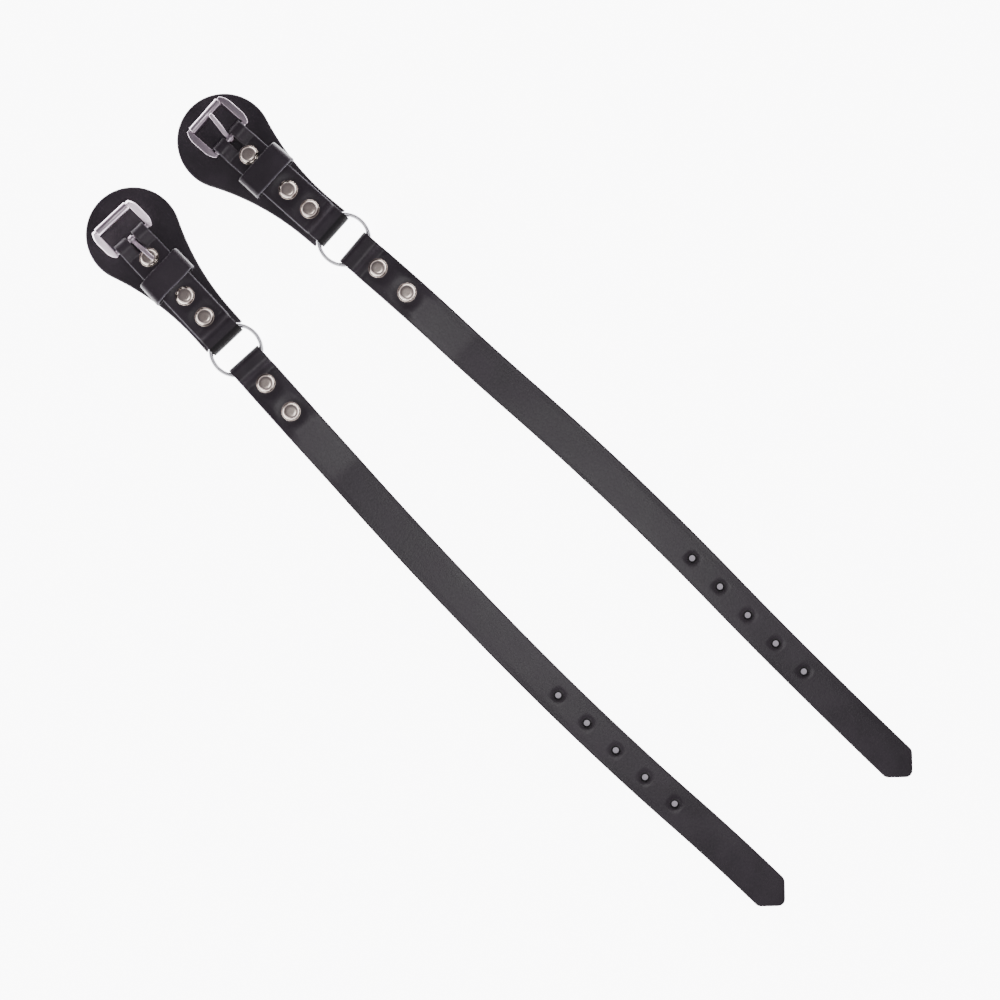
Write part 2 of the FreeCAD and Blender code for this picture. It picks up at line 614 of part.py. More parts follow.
def make_long_strap(side):
    # Leather strap folded back under itself round the ring, down to the floor and flat from
    # there, with gentle bends in plan, punched holes and a blunt tip.
    body = new_body(side + "_long_strap")
    near_edges, run_length = plan_edges(side, half_strap.number)
    whole = run_length + dim("tip_straight").number
    side_view = new_sketch(body, "side_view_" + body.Label, "XZ_Plane")
    outside, room = ring_loop(strap_low, 1, strap_top)
    far = dim(whole) + dim("blank_over")
    underside = dim("sag_start") - dim("ply_parting")
    outline = outside + [("sag_start", strap_top, "sag_bend_high"), ("sag_end", leather, "sag_bend_low"),
                         (far, leather, 0), (far, 0, 0), ("sag_end", 0, "sag_bend_low"),
                         (underside, strap_mid, "sag_bend_high"), ("under_stop", strap_mid, 0),
                         ("under_stop", strap_low, 0)]
    draw_outline(side_view, outline)
    draw_outline(side_view, room)
    pad_across(body, side_view, "folded_" + body.Label, "blank_width")
    trim = new_sketch(body, "plan_" + body.Label, "XY_Plane")
    half = half_strap.number
    far_edges, run_length = plan_edges(side, -half)
    end, heading = run_point(side, whole, 0)
    ahead = Vector(math.cos(heading), math.sin(heading), 0)
    across = Vector(-math.sin(heading), math.cos(heading), 0)
    nose = dim("tip_round").number
    shoulder = dim("tip_shoulder").number
    peak = end + ahead * (nose * (math.sqrt(2) - 1))
    shoulders = []
    for way in (1, -1):
        bend = peak + ahead * -half + across * (half * way)
        reach = shoulder * math.tan(math.pi / 8)
        slope = (peak - bend).normalize()
        on_side = bend - ahead * reach
        on_slope = bend + slope * reach
        centre = on_side - across * (shoulder * way)
        middle = centre + (bend - centre).normalize() * shoulder
        on_nose = peak - slope * nose
        shoulders.append((on_side, middle, on_slope, on_nose))
    near, far_side = shoulders
    shapes = near_edges + [
        Part.LineSegment(run_point(side, run_length, half)[0], near[0]),
        Part.Arc(near[0], near[1], near[2]),
        Part.LineSegment(near[2], near[3]),
        Part.Arc(near[3], end, far_side[3]),
        Part.LineSegment(far_side[3], far_side[2]),
        Part.Arc(far_side[2], far_side[1], far_side[0]),
        Part.LineSegment(far_side[0], run_point(side, run_length, -half)[0])]
    shapes += reversed(far_edges)
    shapes.append(Part.LineSegment(run_point(side, 0, -half)[0], run_point(side, 0, half)[0]))
    # A wide rectangle round the plan, so that the cut takes away everything outside it.
    wide = dim("blank_width").number
    box = [Vector(-wide, -wide, 0), Vector(whole + wide, -wide, 0), Vector(whole + wide, wide, 0),
           Vector(-wide, wide, 0)]
    shapes += [Part.LineSegment(box[i - 1], box[i]) for i in range(4)]
    trim.addGeometry(shapes, False)
    cut_through(body, trim, "trimmed_" + body.Label)
    holes = new_sketch(body, "holes_" + body.Label, "XY_Plane")
    for distance in strap_rivets.values():
        draw_circle(holes, distance, 0, post_hole)
    cut_through(body, holes, "post_holes_" + body.Label)
    punched = new_sketch(body, "punched_" + body.Label, "XY_Plane")
    for i in range(hole_count):
        at = run_point(side, dim("hole_first").number + i * dim("hole_pitch").number, 0)[0]
        spot = punched.addGeometry(Part.Circle(at, Vector(0, 0, 1), dim("hole_radius").number), False)
        bind(punched, Sketcher.Constraint("Radius", spot, dim("hole_radius").number), "hole_radius")
        print("hole", side, i + 1, run_world(side, at))
    cut_through(body, punched, "punched_holes_" + body.Label)
    place(body, side, "strap_turn")
    return body


def run_world(side, at):
    turn = math.radians(dim(side + "_strap_turn").number)
    x = dim(side + "_ring_x").number + at.x * math.cos(turn) - at.y * math.sin(turn)
    y = dim(side + "_ring_y").number + at.x * math.sin(turn) + at.y * math.cos(turn)
    return round(x, 3), round(y, 3)


subparts = []
for side in sides:
    subparts += [make_pad(side), make_buckle_strap(side), make_keeper(side), make_buckle_frame(side),
                 make_roller(side), make_tongue(side), make_ring(side), make_long_strap(side)]
    for name, distance in head_rivets.items():
        subparts.append(make_rivet_cap(side, name, distance, head_top, "head_turn"))
    subparts.append(make_rivet_bases(side, "head", head_rivets.values(), head_top, "head_turn"))
    for name, distance in strap_rivets.items():
        subparts.append(make_rivet_cap(side, name, -distance, strap_top, "strap_turn"))
    ahead_of_ring = [-distance for distance in strap_rivets.values()]
    subparts.append(make_rivet_bases(side, "strap", ahead_of_ring, strap_top, "strap_turn"))

doc.recompute()
for item in doc.Objects:
    bad = [state for state in item.State if state in ("Invalid", "Error")]
    if bad:
        raise RuntimeError("%s is %s" % (item.Label, bad))
os.makedirs("parts", exist_ok=True)
for item in subparts:
    shape = item.Shape
    if shape.isNull() or not shape.isValid():
        raise RuntimeError("%s has no valid shape" % item.Label)
    box = shape.BoundBox
    print("%-28s %2d solids %9.2f mm3  x %8.2f %8.2f  y %7.2f %7.2f  z %6.2f %6.2f"
          % (item.Label, len(shape.Solids), shape.Volume, box.XMin, box.XMax, box.YMin, box.YMax,
             box.ZMin, box.ZMax))
    shape.exportStep("parts/%s.step" % item.Label)
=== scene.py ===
import json
import math
import bpy
import numpy as np
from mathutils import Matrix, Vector


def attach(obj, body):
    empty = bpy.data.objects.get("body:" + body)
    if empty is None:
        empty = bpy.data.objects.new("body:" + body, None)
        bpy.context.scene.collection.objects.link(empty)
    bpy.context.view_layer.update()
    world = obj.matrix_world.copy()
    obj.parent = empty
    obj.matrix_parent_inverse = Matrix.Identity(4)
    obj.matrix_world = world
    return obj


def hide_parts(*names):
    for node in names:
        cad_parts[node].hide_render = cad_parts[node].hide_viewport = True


# Two leather buckle straps lying side by side. Shapes are worked out in millimetres, in each
# strap's own axes: origin at the ring's centre, +x away from the pad, +y to its left, +z up.

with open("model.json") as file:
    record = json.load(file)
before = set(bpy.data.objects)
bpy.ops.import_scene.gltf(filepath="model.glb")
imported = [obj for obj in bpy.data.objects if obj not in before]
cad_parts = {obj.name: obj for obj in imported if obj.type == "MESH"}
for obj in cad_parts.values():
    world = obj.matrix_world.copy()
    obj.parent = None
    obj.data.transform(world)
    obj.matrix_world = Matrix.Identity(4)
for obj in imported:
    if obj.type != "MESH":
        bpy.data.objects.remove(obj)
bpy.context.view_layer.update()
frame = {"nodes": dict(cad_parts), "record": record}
record = frame["record"]
joints = {joint["name"]: joint for joint in record["behaviour"]["joints"]}
mounts = {mount["name"]: mount for mount in record["mounts"]}
sides = ("left", "right")
mm = 0.001
print("frame loaded")


class StrapAxes:
    # Where a strap's own axes lie: headings of its head and of its long strap, from the joints.
    def __init__(self, side):
        self.ring = np.array(mounts[side + "_ring"]["pos_m"][:2] + [0.0]) / mm
        slide = joints[side + "_keeper_slide"]["axis"]
        lift = joints[side + "_strap_tilt"]["axis"]
        self.head = math.atan2(slide[1], slide[0])
        self.strap = math.atan2(lift[0], -lift[1])

    def world(self, points, heading):
        # Millimetres in the strap's axes to metres in the frame.
        points = np.asarray(points, dtype=float)
        cos, sin = math.cos(heading), math.sin(heading)
        turned = np.stack([points[..., 0] * cos - points[..., 1] * sin,
                           points[..., 0] * sin + points[..., 1] * cos, points[..., 2]], -1)
        return (turned + self.ring) * mm


axesOf = {side: StrapAxes(side) for side in sides}


class Wire:
    # A node's output that can stand in a sum, and from which further nodes are added.
    def __init__(self, tree, socket=None):
        self.tree = tree
        self.socket = socket

    def add(self, kind, settings=None, sockets=None, output=0):
        node = self.tree.nodes.new(kind)
        for name, value in (settings or {}).items():
            setattr(node, name, value)
        for name, value in (sockets or {}).items():
            if isinstance(value, Wire):
                self.tree.links.new(value.socket, node.inputs[name])
            else:
                node.inputs[name].default_value = value
        return Wire(self.tree, node.outputs[output] if len(node.outputs) else None)

    def math(self, operation, first, second):
        return self.add("ShaderNodeMath", {"operation": operation}, {0: first, 1: second})

    def __add__(self, other):
        return self.math("ADD", self, other)

    def __radd__(self, other):
        return self.math("ADD", other, self)

    def __mul__(self, other):
        return self.math("MULTIPLY", self, other)

    def __rmul__(self, other):
        return self.math("MULTIPLY", other, self)

    def between(self, low, high):
        # 0 below low, 1 above high, smooth between them.
        return self.add("ShaderNodeMapRange", {"interpolation_type": "SMOOTHSTEP"},
                        {"Value": self, "From Min": low, "From Max": high})

    def mix(self, first, second):
        # first where this wire is 0, second where it is 1; both are colours or colour wires.
        ends = [end if isinstance(end, Wire) else (*end, 1.0) for end in (first, second)]
        return self.add("ShaderNodeMix", {"data_type": "RGBA"}, {0: self, 6: ends[0], 7: ends[1]}, output=2)


def newMaterial(name):
    material = bpy.data.materials.new(name)
    material.use_nodes = True
    material.node_tree.nodes.clear()
    start = Wire(material.node_tree)
    place = start.add("ShaderNodeTexCoord", output=3)
    return material, start, place


def finishMaterial(start, sockets):
    shader = start.add("ShaderNodeBsdfPrincipled", None, sockets)
    start.add("ShaderNodeOutputMaterial", None, {"Surface": shader})


def noiseOf(place, scale, detail=3.0, roughness=0.55, stretch=(1, 1, 1)):
    moved = place.add("ShaderNodeMapping", {"vector_type": "POINT"}, {"Vector": place, "Scale": stretch})
    return place.add("ShaderNodeTexNoise", None, {"Vector": moved, "Scale": scale, "Detail": detail,
                                                  "Roughness": roughness})


def bumpOf(height, strength, depth):
    return height.add("ShaderNodeBump", None, {"Height": height, "Strength": strength,
                                               "Distance": depth})


leatherLook = {
    "dark": (0.0270, 0.0205, 0.0272), "pale": (0.0450, 0.0355, 0.0452), "scuff": 2.6,
    "rawEdge": (0.085, 0.076, 0.092), "shadow": (0.004, 0.0035, 0.004),
    "cloudScale": 45.0, "scuffScale": 160.0, "frayScale": 420.0,
    "poreSize": 0.55 * mm, "creaseSize": 2.4 * mm, "poreDepth": 0.05 * mm, "bump": 0.55,
    "gloss": 0.29, "cloudGloss": 0.14, "scuffGloss": 0.12, "rawGloss": 0.35, "specular": 0.45,
}


def makeLeather(name, tint=1.0, gloss=None, rawEdge=True):
    look = leatherLook
    material, start, place = newMaterial(name)
    cloudy = noiseOf(place, look["cloudScale"], 4.0)
    fine = noiseOf(place, 1 / look["poreSize"] * 1.7, 3.0)
    pores = place.add("ShaderNodeTexVoronoi", {"feature": "F1"},
                      {"Vector": place, "Scale": 1 / look["poreSize"], "Randomness": 1.0})
    creases = place.add("ShaderNodeTexVoronoi", {"feature": "DISTANCE_TO_EDGE"},
                        {"Vector": place, "Scale": 1 / look["creaseSize"]})
    scuffs = noiseOf(place, look["scuffScale"], 5.0, 0.7, (1.0, 6.0, 1.0)).between(0.60, 0.74)
    grain = (pores * 0.5) + (fine * 0.6) + (creases.between(0.0, 0.12) * 0.35)
    colour = cloudy.between(0.3, 0.7).mix([part * tint for part in look["dark"]],
                                          [part * tint for part in look["pale"]])
    colour = (scuffs * 0.35).mix(colour, [part * look["scuff"] for part in look["pale"]])
    rough = (gloss or look["gloss"]) + cloudy * look["cloudGloss"] + scuffs * look["scuffGloss"]
    if rawEdge:
        # Skived and cut edges show the leather's paler inside; on the keeper the rawEdge mark also carries
        # painted light and shade.
        raw = place.add("ShaderNodeAttribute", {"attribute_name": "rawEdge"}, output=2)
        frayed = raw * (0.55 + 0.9 * noiseOf(place, look["frayScale"], 4.0))
        colour = frayed.between(0.25, 0.95).mix(colour, look["rawEdge"])
        rough = rough + raw * look["rawGloss"]
    # Painted shade: dished and folded places, marked by the hollow attribute, are darkened towards near
    # black and made duller.
    hollow = place.add("ShaderNodeAttribute", {"attribute_name": "hollow"}, output=2)
    colour = hollow.mix(colour, look["shadow"])
    rough = rough + hollow * 0.35
    finishMaterial(start, {"Base Color": colour, "Roughness": rough,
                           "Specular IOR Level": look["specular"],
                           "Normal": bumpOf(grain, look["bump"], look["poreDepth"])})
    return material


fleshLook = {
    "dark": (0.020, 0.018, 0.020), "pale": (0.060, 0.054, 0.058), "napScale": 900.0,
    "patchScale": 60.0, "roughness": 0.86, "bump": 0.8, "napDepth": 0.12 * mm,
}


def makeFlesh():
    # The unfinished side: short nap, dyed black.
    look = fleshLook
    material, start, place = newMaterial("blackFleshSide")
    nap = noiseOf(place, look["napScale"], 5.0, 0.7, (1.0, 2.5, 1.0))
    patches = noiseOf(place, look["patchScale"], 3.0)
    colour = (nap * 0.6 + patches * 0.4).between(0.3, 0.7).mix(look["dark"], look["pale"])
    finishMaterial(start, {"Base Color": colour, "Roughness": look["roughness"],
                           "Normal": bumpOf(nap, look["bump"], look["napDepth"])})
    return material


cutLook = {
    "layerScale": 260.0, "speckScale": 1300.0, "darkest": 0.45, "roughness": 0.72,
    "speckGloss": 0.15, "bump": 0.6, "layerDepth": 0.10 * mm,
}


def makeCutEdge(name, pale):
    # Fibres in thin layers along a cut edge.
    look = cutLook
    material, start, place = newMaterial(name)
    layers = noiseOf(place, look["layerScale"], 5.0, 0.65, (1.0, 1.0, 9.0))
    specks = noiseOf(place, look["speckScale"], 3.0)
    mottle = (layers * 0.7 + specks * 0.3).between(0.3, 0.7)
    colour = mottle.mix([part * look["darkest"] for part in pale], pale)
    finishMaterial(start, {"Base Color": colour,
                           "Roughness": look["roughness"] + specks * look["speckGloss"],
                           "Normal": bumpOf(layers + specks * 0.5, look["bump"], look["layerDepth"])})
    return material


platingLooks = {
    "buckleNickel": {"bright": (0.66, 0.57, 0.64), "clouded": (0.58, 0.49, 0.56), "gloss": 0.24,
                     "brushed": 0.11, "lines": (1, 3, 1)},
    "ringChrome": {"bright": (0.74, 0.74, 0.76), "clouded": (0.66, 0.66, 0.69), "gloss": 0.30,
                   "brushed": 0.05, "lines": (1, 1, 1)},
    "rivetNickel": {"bright": (0.74, 0.65, 0.58), "clouded": (0.64, 0.55, 0.49), "gloss": 0.20,
                    "brushed": 0.05, "lines": (1, 1, 1)},
}


def makePlating(name):
    # Plated metal: fine polishing lines, faint clouding and a few darker specks.
    look = platingLooks[name]
    material, start, place = newMaterial(name)
    lines = noiseOf(place, 700.0, 4.0, 0.6, look["lines"])
    cloud = noiseOf(place, 130.0, 3.0)
    specks = noiseOf(place, 900.0, 2.0).between(0.68, 0.76)
    tone = cloud.between(0.35, 0.65).mix(look["bright"], look["clouded"])
    tone = (specks * 0.35).mix(tone, [part * 0.45 for part in look["bright"]])
    rough = look["gloss"] + cloud * 0.06 + lines * look["brushed"] + specks * 0.10
    finishMaterial(start, {"Base Color": tone, "Metallic": 1.0, "Roughness": rough,
                           "Normal": bumpOf(lines + cloud, 0.10, 0.02 * mm)})
    return material


strapLeather = makeLeather("blackStrapLeather")
padLeather = makeLeather("blackPadLeather", tint=0.95, gloss=0.38, rawEdge=False)
fleshSide = makeFlesh()
paleCut = makeCutEdge("greyCutEdge", (0.085, 0.076, 0.090))
darkCut = makeCutEdge("dyedCutEdge", (0.045, 0.041, 0.045))
buckleNickel = makePlating("buckleNickel")
ringChrome = makePlating("ringChrome")
rivetNickel = makePlating("rivetNickel")
print("materials made")


def easing(value, low, high):
    share = np.clip((np.asarray(value, dtype=float) - low) / (high - low), 0, 1)
    return share * share * (3 - 2 * share)


def makeObject(name, points, faces, materials, faceSlots=None, marks=None):
    mesh = bpy.data.meshes.new(name)
    mesh.from_pydata([tuple(point) for point in points], [], faces)
    for material in materials:
        mesh.materials.append(material)
    if faceSlots is not None:
        mesh.polygons.foreach_set("material_index", faceSlots)
    mesh.polygons.foreach_set("use_smooth", [True] * len(mesh.polygons))
    for mark, values in (marks or {}).items():
        held = mesh.attributes.new(mark, "FLOAT", "POINT")
        held.data.foreach_set("value", [float(value) for value in values])
    mesh.update()
    piece = bpy.data.objects.new(name, mesh)
    bpy.context.scene.collection.objects.link(piece)
    return piece


def addPiece(piece, body, slot, *nodes):
    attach(piece, body)
    if nodes:
        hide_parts(*nodes)
    return piece


def leatherPiece(name, top, under, keep, wear, materials, hollow=None, wrapped=False):
    # Closed skin from a grid of upper points and one of lower points; keep says which cells stay.
    # Faces use materials 0 above, 1 below and 2 round the cut edges. A wrapped grid goes round
    # its columns and closes on itself at row 0, so it has an edge at its last row only.
    rows, columns = top.shape[:2]
    count = rows * columns
    points = np.concatenate([top.reshape(-1, 3), under.reshape(-1, 3)])
    index = np.arange(count).reshape(rows, columns)
    faces, slots = [], []
    solid = np.zeros((rows + 1, columns + 1), dtype=bool)
    solid[1:-1, 1:-1] = keep
    if wrapped:
        solid[0], solid[:, 0], solid[:, -1] = True, True, True
        solid[-1] = False
    for row, column in zip(*np.nonzero(keep)):
        a, b = index[row, column], index[row + 1, column]
        c, d = index[row + 1, column + 1], index[row, column + 1]
        faces.append((a, b, c, d))
        faces.append((d + count, c + count, b + count, a + count))
        slots += [0, 1]
        beside = ((a, b, solid[row + 1, column]), (b, c, solid[row + 2, column + 1]),
                  (c, d, solid[row + 1, column + 2]), (d, a, solid[row, column + 1]))
        for first, second, joined in beside:
            if not joined:
                faces.append((first, first + count, second + count, second))
                slots.append(2)
    used = np.unique(np.concatenate([np.array(face) for face in faces]))
    renumber = np.full(2 * count, -1)
    renumber[used] = np.arange(len(used))
    faces = [tuple(int(renumber[corner]) for corner in face) for face in faces]
    # rawEdge marks the pale cut edges; hollow carries painted shade.
    marks = {"rawEdge": wear, "hollow": 0 * wear if hollow is None else hollow}
    marks = {mark: np.concatenate([values.reshape(-1)] * 2)[used] for mark, values in marks.items()}
    return makeObject(name, points[used], faces, materials, slots, marks)


def cornerArc(before, corner, after, rounding, steps):
    # Points of the arc that rounds the corner between two straight runs.
    back = (before - corner) / np.linalg.norm(before - corner)
    on = (after - corner) / np.linalg.norm(after - corner)
    half = math.acos(np.clip(back @ on, -1, 1)) / 2
    reach = rounding / math.tan(half)
    centre = corner + (back + on) / np.linalg.norm(back + on) * (rounding / math.sin(half))
    start, end = corner + back * reach - centre, corner + on * reach - centre
    first = math.atan2(start[1], start[0])
    sweep = (math.atan2(end[1], end[0]) - first + math.pi) % (2 * math.pi) - math.pi
    angle = first + sweep * np.linspace(0, 1, steps)
    return list(centre + rounding * np.stack([np.cos(angle), np.sin(angle)], -1))


class FoldPath:
    # The middle line of folded leather in side view, through corners (x, z, rounding).
    def __init__(self, corners, arcSteps=17):
        spots = [np.array(corner[:2], dtype=float) for corner in corners]
        line = [spots[0]]
        for place in range(1, len(spots) - 1):
            line += cornerArc(*spots[place - 1:place + 2], corners[place][2], arcSteps)
        line.append(spots[-1])
        self.line = np.array(line)
        steps = np.linalg.norm(np.diff(self.line, axis=0), axis=1)
        fresh = np.concatenate([[True], steps > 1e-6])
        self.line = self.line[fresh]
        steps = np.linalg.norm(np.diff(self.line, axis=0), axis=1)
        self.run = np.concatenate([[0], np.cumsum(steps)])
        self.length = self.run[-1]

    def at(self, distance):
        return np.stack([np.interp(distance, self.run, self.line[:, axis]) for axis in (0, 1)], -1)

    def tangent(self, distance, reach=0.35):
        ahead = self.at(np.clip(distance + reach, 0, self.length))
        behind = self.at(np.clip(distance - reach, 0, self.length))
        step = ahead - behind
        return step / np.linalg.norm(step, axis=-1, keepdims=True)

    def find(self, x, heading):
        # Distance along the path where it passes x going towards +x (1) or -x (-1).
        for step in range(len(self.run) - 1):
            x0, x1 = self.line[step, 0], self.line[step + 1, 0]
            if (x1 - x0) * heading > 0 and min(x0, x1) <= x <= max(x0, x1):
                return self.run[step] + (x - x0) / (x1 - x0) * (self.run[step + 1] - self.run[step])
        raise ValueError("the fold never passes that place")


def edgeRounding(distance, width, share):
    # Thickness left at a distance from a cut edge: less at the edge itself, whole past width.
    return 1 - share * (1 - np.clip(distance / width, 0, 1)) ** 2


def gentleWaves(x, y, seed):
    # Slow unevenness of a hide, between about -1 and 1.
    return (np.sin(x / 9.1 + seed) * 0.4 + np.sin(x / 23.0 + y / 11.0 + 2.1 * seed) * 0.4
            + np.sin(x / 5.3 - y / 6.1 + 0.7 * seed) * 0.2)


def rivetDimples(x, y, rivets, capRadius, reach):
    # 0 under and beside the caps, 1 away from them.
    rise = np.ones(np.broadcast(x, y).shape)
    for centre in rivets:
        away = np.clip(np.hypot(x - centre, y) - capRadius, 0, None)
        rise = rise * (1 - np.exp(-(away / reach) ** 2))
    return rise


rivetShape = {
    "radius": 4.75, "height": 2.55, "rim": 0.55, "lip": 0.28, "domePower": 6.0, "sides": 56,
    "headLevel": 6.9, "strapLevel": 4.9, "dimpleReach": 2.6,
}
headRivets = {"tongue": -62.2, "keeper": -36.4, "ring": -22.3}
strapRivets = {"strap_inner": 21.7, "strap_outer": 40.3}


padShape = {
    "round": 23.4, "back": 76.6, "hollow": 130.0, "tail": 23.0, "end": 9.2,
    "low": 0.9, "thick": 2.0, "skew": {"left": -1.35, "right": 1.95}, "droop": 0.55,
    "droopStart": 45.0, "droopEnd": 80.0, "spineStart": -14.0, "edge": 0.8, "edgeShare": 0.5,
    "insets": [0, 0.15, 0.4, 0.8, 1.6, 3.0], "innerRings": 8, "wave": 0.12, "raw": 0.6,
    "pressed": 0.18, "pressedRadius": 6.0, "pressedReach": 5.0,
}


def padOutline(spacing=1.1):
    # Round end, hollow sides and a parallel tail, going round from the tail's left corner.
    shape = padShape
    tail = shape["tail"] / 2
    rise = tail + shape["hollow"]
    back, end = -shape["back"], -shape["end"]
    waist = back + math.sqrt((shape["round"] + shape["hollow"]) ** 2 - rise ** 2)
    lean = math.atan2(rise, waist - back)

    def arc(x, y, radius, first, last):
        count = max(2, int(abs(last - first) * radius / spacing))
        return [(x + radius * math.cos(angle), y + radius * math.sin(angle))
                for angle in np.linspace(first, last, count, endpoint=False)]

    straight = max(2, int((end - waist) / spacing))
    outline = [(end - (end - waist) * share, tail) for share in np.arange(straight) / straight]
    outline += arc(waist, rise, shape["hollow"], 1.5 * math.pi, math.pi + lean)
    outline += arc(back, 0, shape["round"], lean, 2 * math.pi - lean)
    outline += arc(waist, -rise, shape["hollow"], math.pi - lean, 0.5 * math.pi)
    outline += [(waist + (end - waist) * share, -tail) for share in np.arange(straight) / straight]
    across = int(2 * tail / spacing)
    outline += [(end, -tail + 2 * tail * share) for share in np.arange(across) / across]
    return np.array(outline)


def makePad(side):
    shape = padShape
    outline = padOutline()
    spine = np.stack([np.clip(outline[:, 0], -shape["back"], shape["spineStart"]), 0 * outline[:, 0]], -1)
    inward = spine - outline
    depth = np.linalg.norm(inward, axis=1)
    inward = inward / depth[:, None]
    insets = shape["insets"]
    last = insets[-1]
    shares = np.linspace(0, 1, shape["innerRings"] + 1)[1:]
    far = np.array([np.full(len(outline), inset, dtype=float) for inset in insets]
                   + [last + (depth - last) * share for share in shares])
    plan = outline + inward * far[..., None]
    plan, far = [np.concatenate([grid, grid[:, :1]], axis=1) for grid in (plan, far)]
    x, y = plan[..., 0], plan[..., 1]
    seed = sides.index(side) * 2.3
    drooping = easing(-x, shape["droopStart"], shape["droopEnd"])
    sag = shape["droop"] * (np.abs(y) / shape["round"]) ** 2 * drooping
    wave = shape["wave"] * gentleWaves(x, y, seed)
    half = shape["thick"] / 2 * edgeRounding(far, shape["edge"], shape["edgeShare"])
    middle = shape["low"] + shape["thick"] / 2 - sag
    level = rivetDimples(x, y, headRivets.values(), shape["pressedRadius"], shape["pressedReach"])
    pressed = shape["pressed"] * (1 - level)
    top = np.stack([x, y, middle + half + wave * easing(far, 0, 6) - pressed], -1)
    under = np.stack([x, y, middle - half], -1)
    axes = axesOf[side]
    heading = axes.head + math.radians(shape["skew"][side])
    keep = np.ones((plan.shape[0] - 1, plan.shape[1] - 1), dtype=bool)
    wear = 1 - easing(far, 0, shape["raw"])
    piece = leatherPiece(side + "Pad", axes.world(top, heading)[::-1], axes.world(under, heading)[::-1],
                         keep, wear[::-1], [padLeather, fleshSide, darkCut], wrapped=True)
    weld = piece.modifiers.new("weld", "WELD")
    weld.merge_threshold = 0.0002 * mm
    applyModifiers(piece)
    return addPiece(piece, side + "_head", "pad_leather", side + "_pad")


def applyModifiers(piece):
    shaped = piece.evaluated_get(bpy.context.evaluated_depsgraph_get())
    mesh = bpy.data.meshes.new_from_object(shaped)
    piece.modifiers.clear()
    piece.data = mesh


headShape = {
    "half": 9.5, "thick": 1.92, "loopThick": 1.0, "heelThick": 1.35,
    "underLevel": 3.9, "topLevel": 5.9, "heelUnder": 3.6, "heelTop": 8.4, "heelEnd": 77.2,
    "heelCrown": 72.2, "heelFoot": 66.8, "ringUnder": 3.5, "ringTop": 8.7, "ringEnd": 5.45,
    "ringCrown": 13.4, "ringFoot": 17.4, "stopBuckle": 58.6, "stopRing": 41.5,
    "fold": 2.25, "slope": 4.0, "slotHalf": 1.9, "slotEnd": 67.4, "puff": 0.42, "raw": 0.75,
    "shadeStart": 8.6, "shadeSoft": 0.35, "shade": 0.9, "edge": 0.6, "edgeShare": 0.42,
    "wave": 0.07, "drawn": 0.018,
}
columnsAcross = [0, 0.7, 1.3, 1.9, 2.4, 3.2, 4.2, 5.2, 6.2, 7.2, 8.0, 8.6, 9.0, 9.25, 9.42, 9.5]


def bothWays(values):
    return np.array([-value for value in values[:0:-1]] + list(values))


def stationsBetween(length, step, fineStep, fineRanges, ends=(0.0, 0.12, 0.35, 0.7)):
    # Places along a strip: even steps, finer ones in the folds and close ones at its two ends.
    places = set(np.round(np.arange(1.2, length - 1.2, step), 4))
    for low, high in fineRanges:
        places |= set(np.round(np.arange(low, high, fineStep), 4))
    places |= {end for end in ends} | {length - end for end in ends}
    kept = []
    for place in sorted(places):
        if not kept or place - kept[-1] > 0.1:
            kept.append(float(place))
    kept[-1] = length
    return np.array(kept)


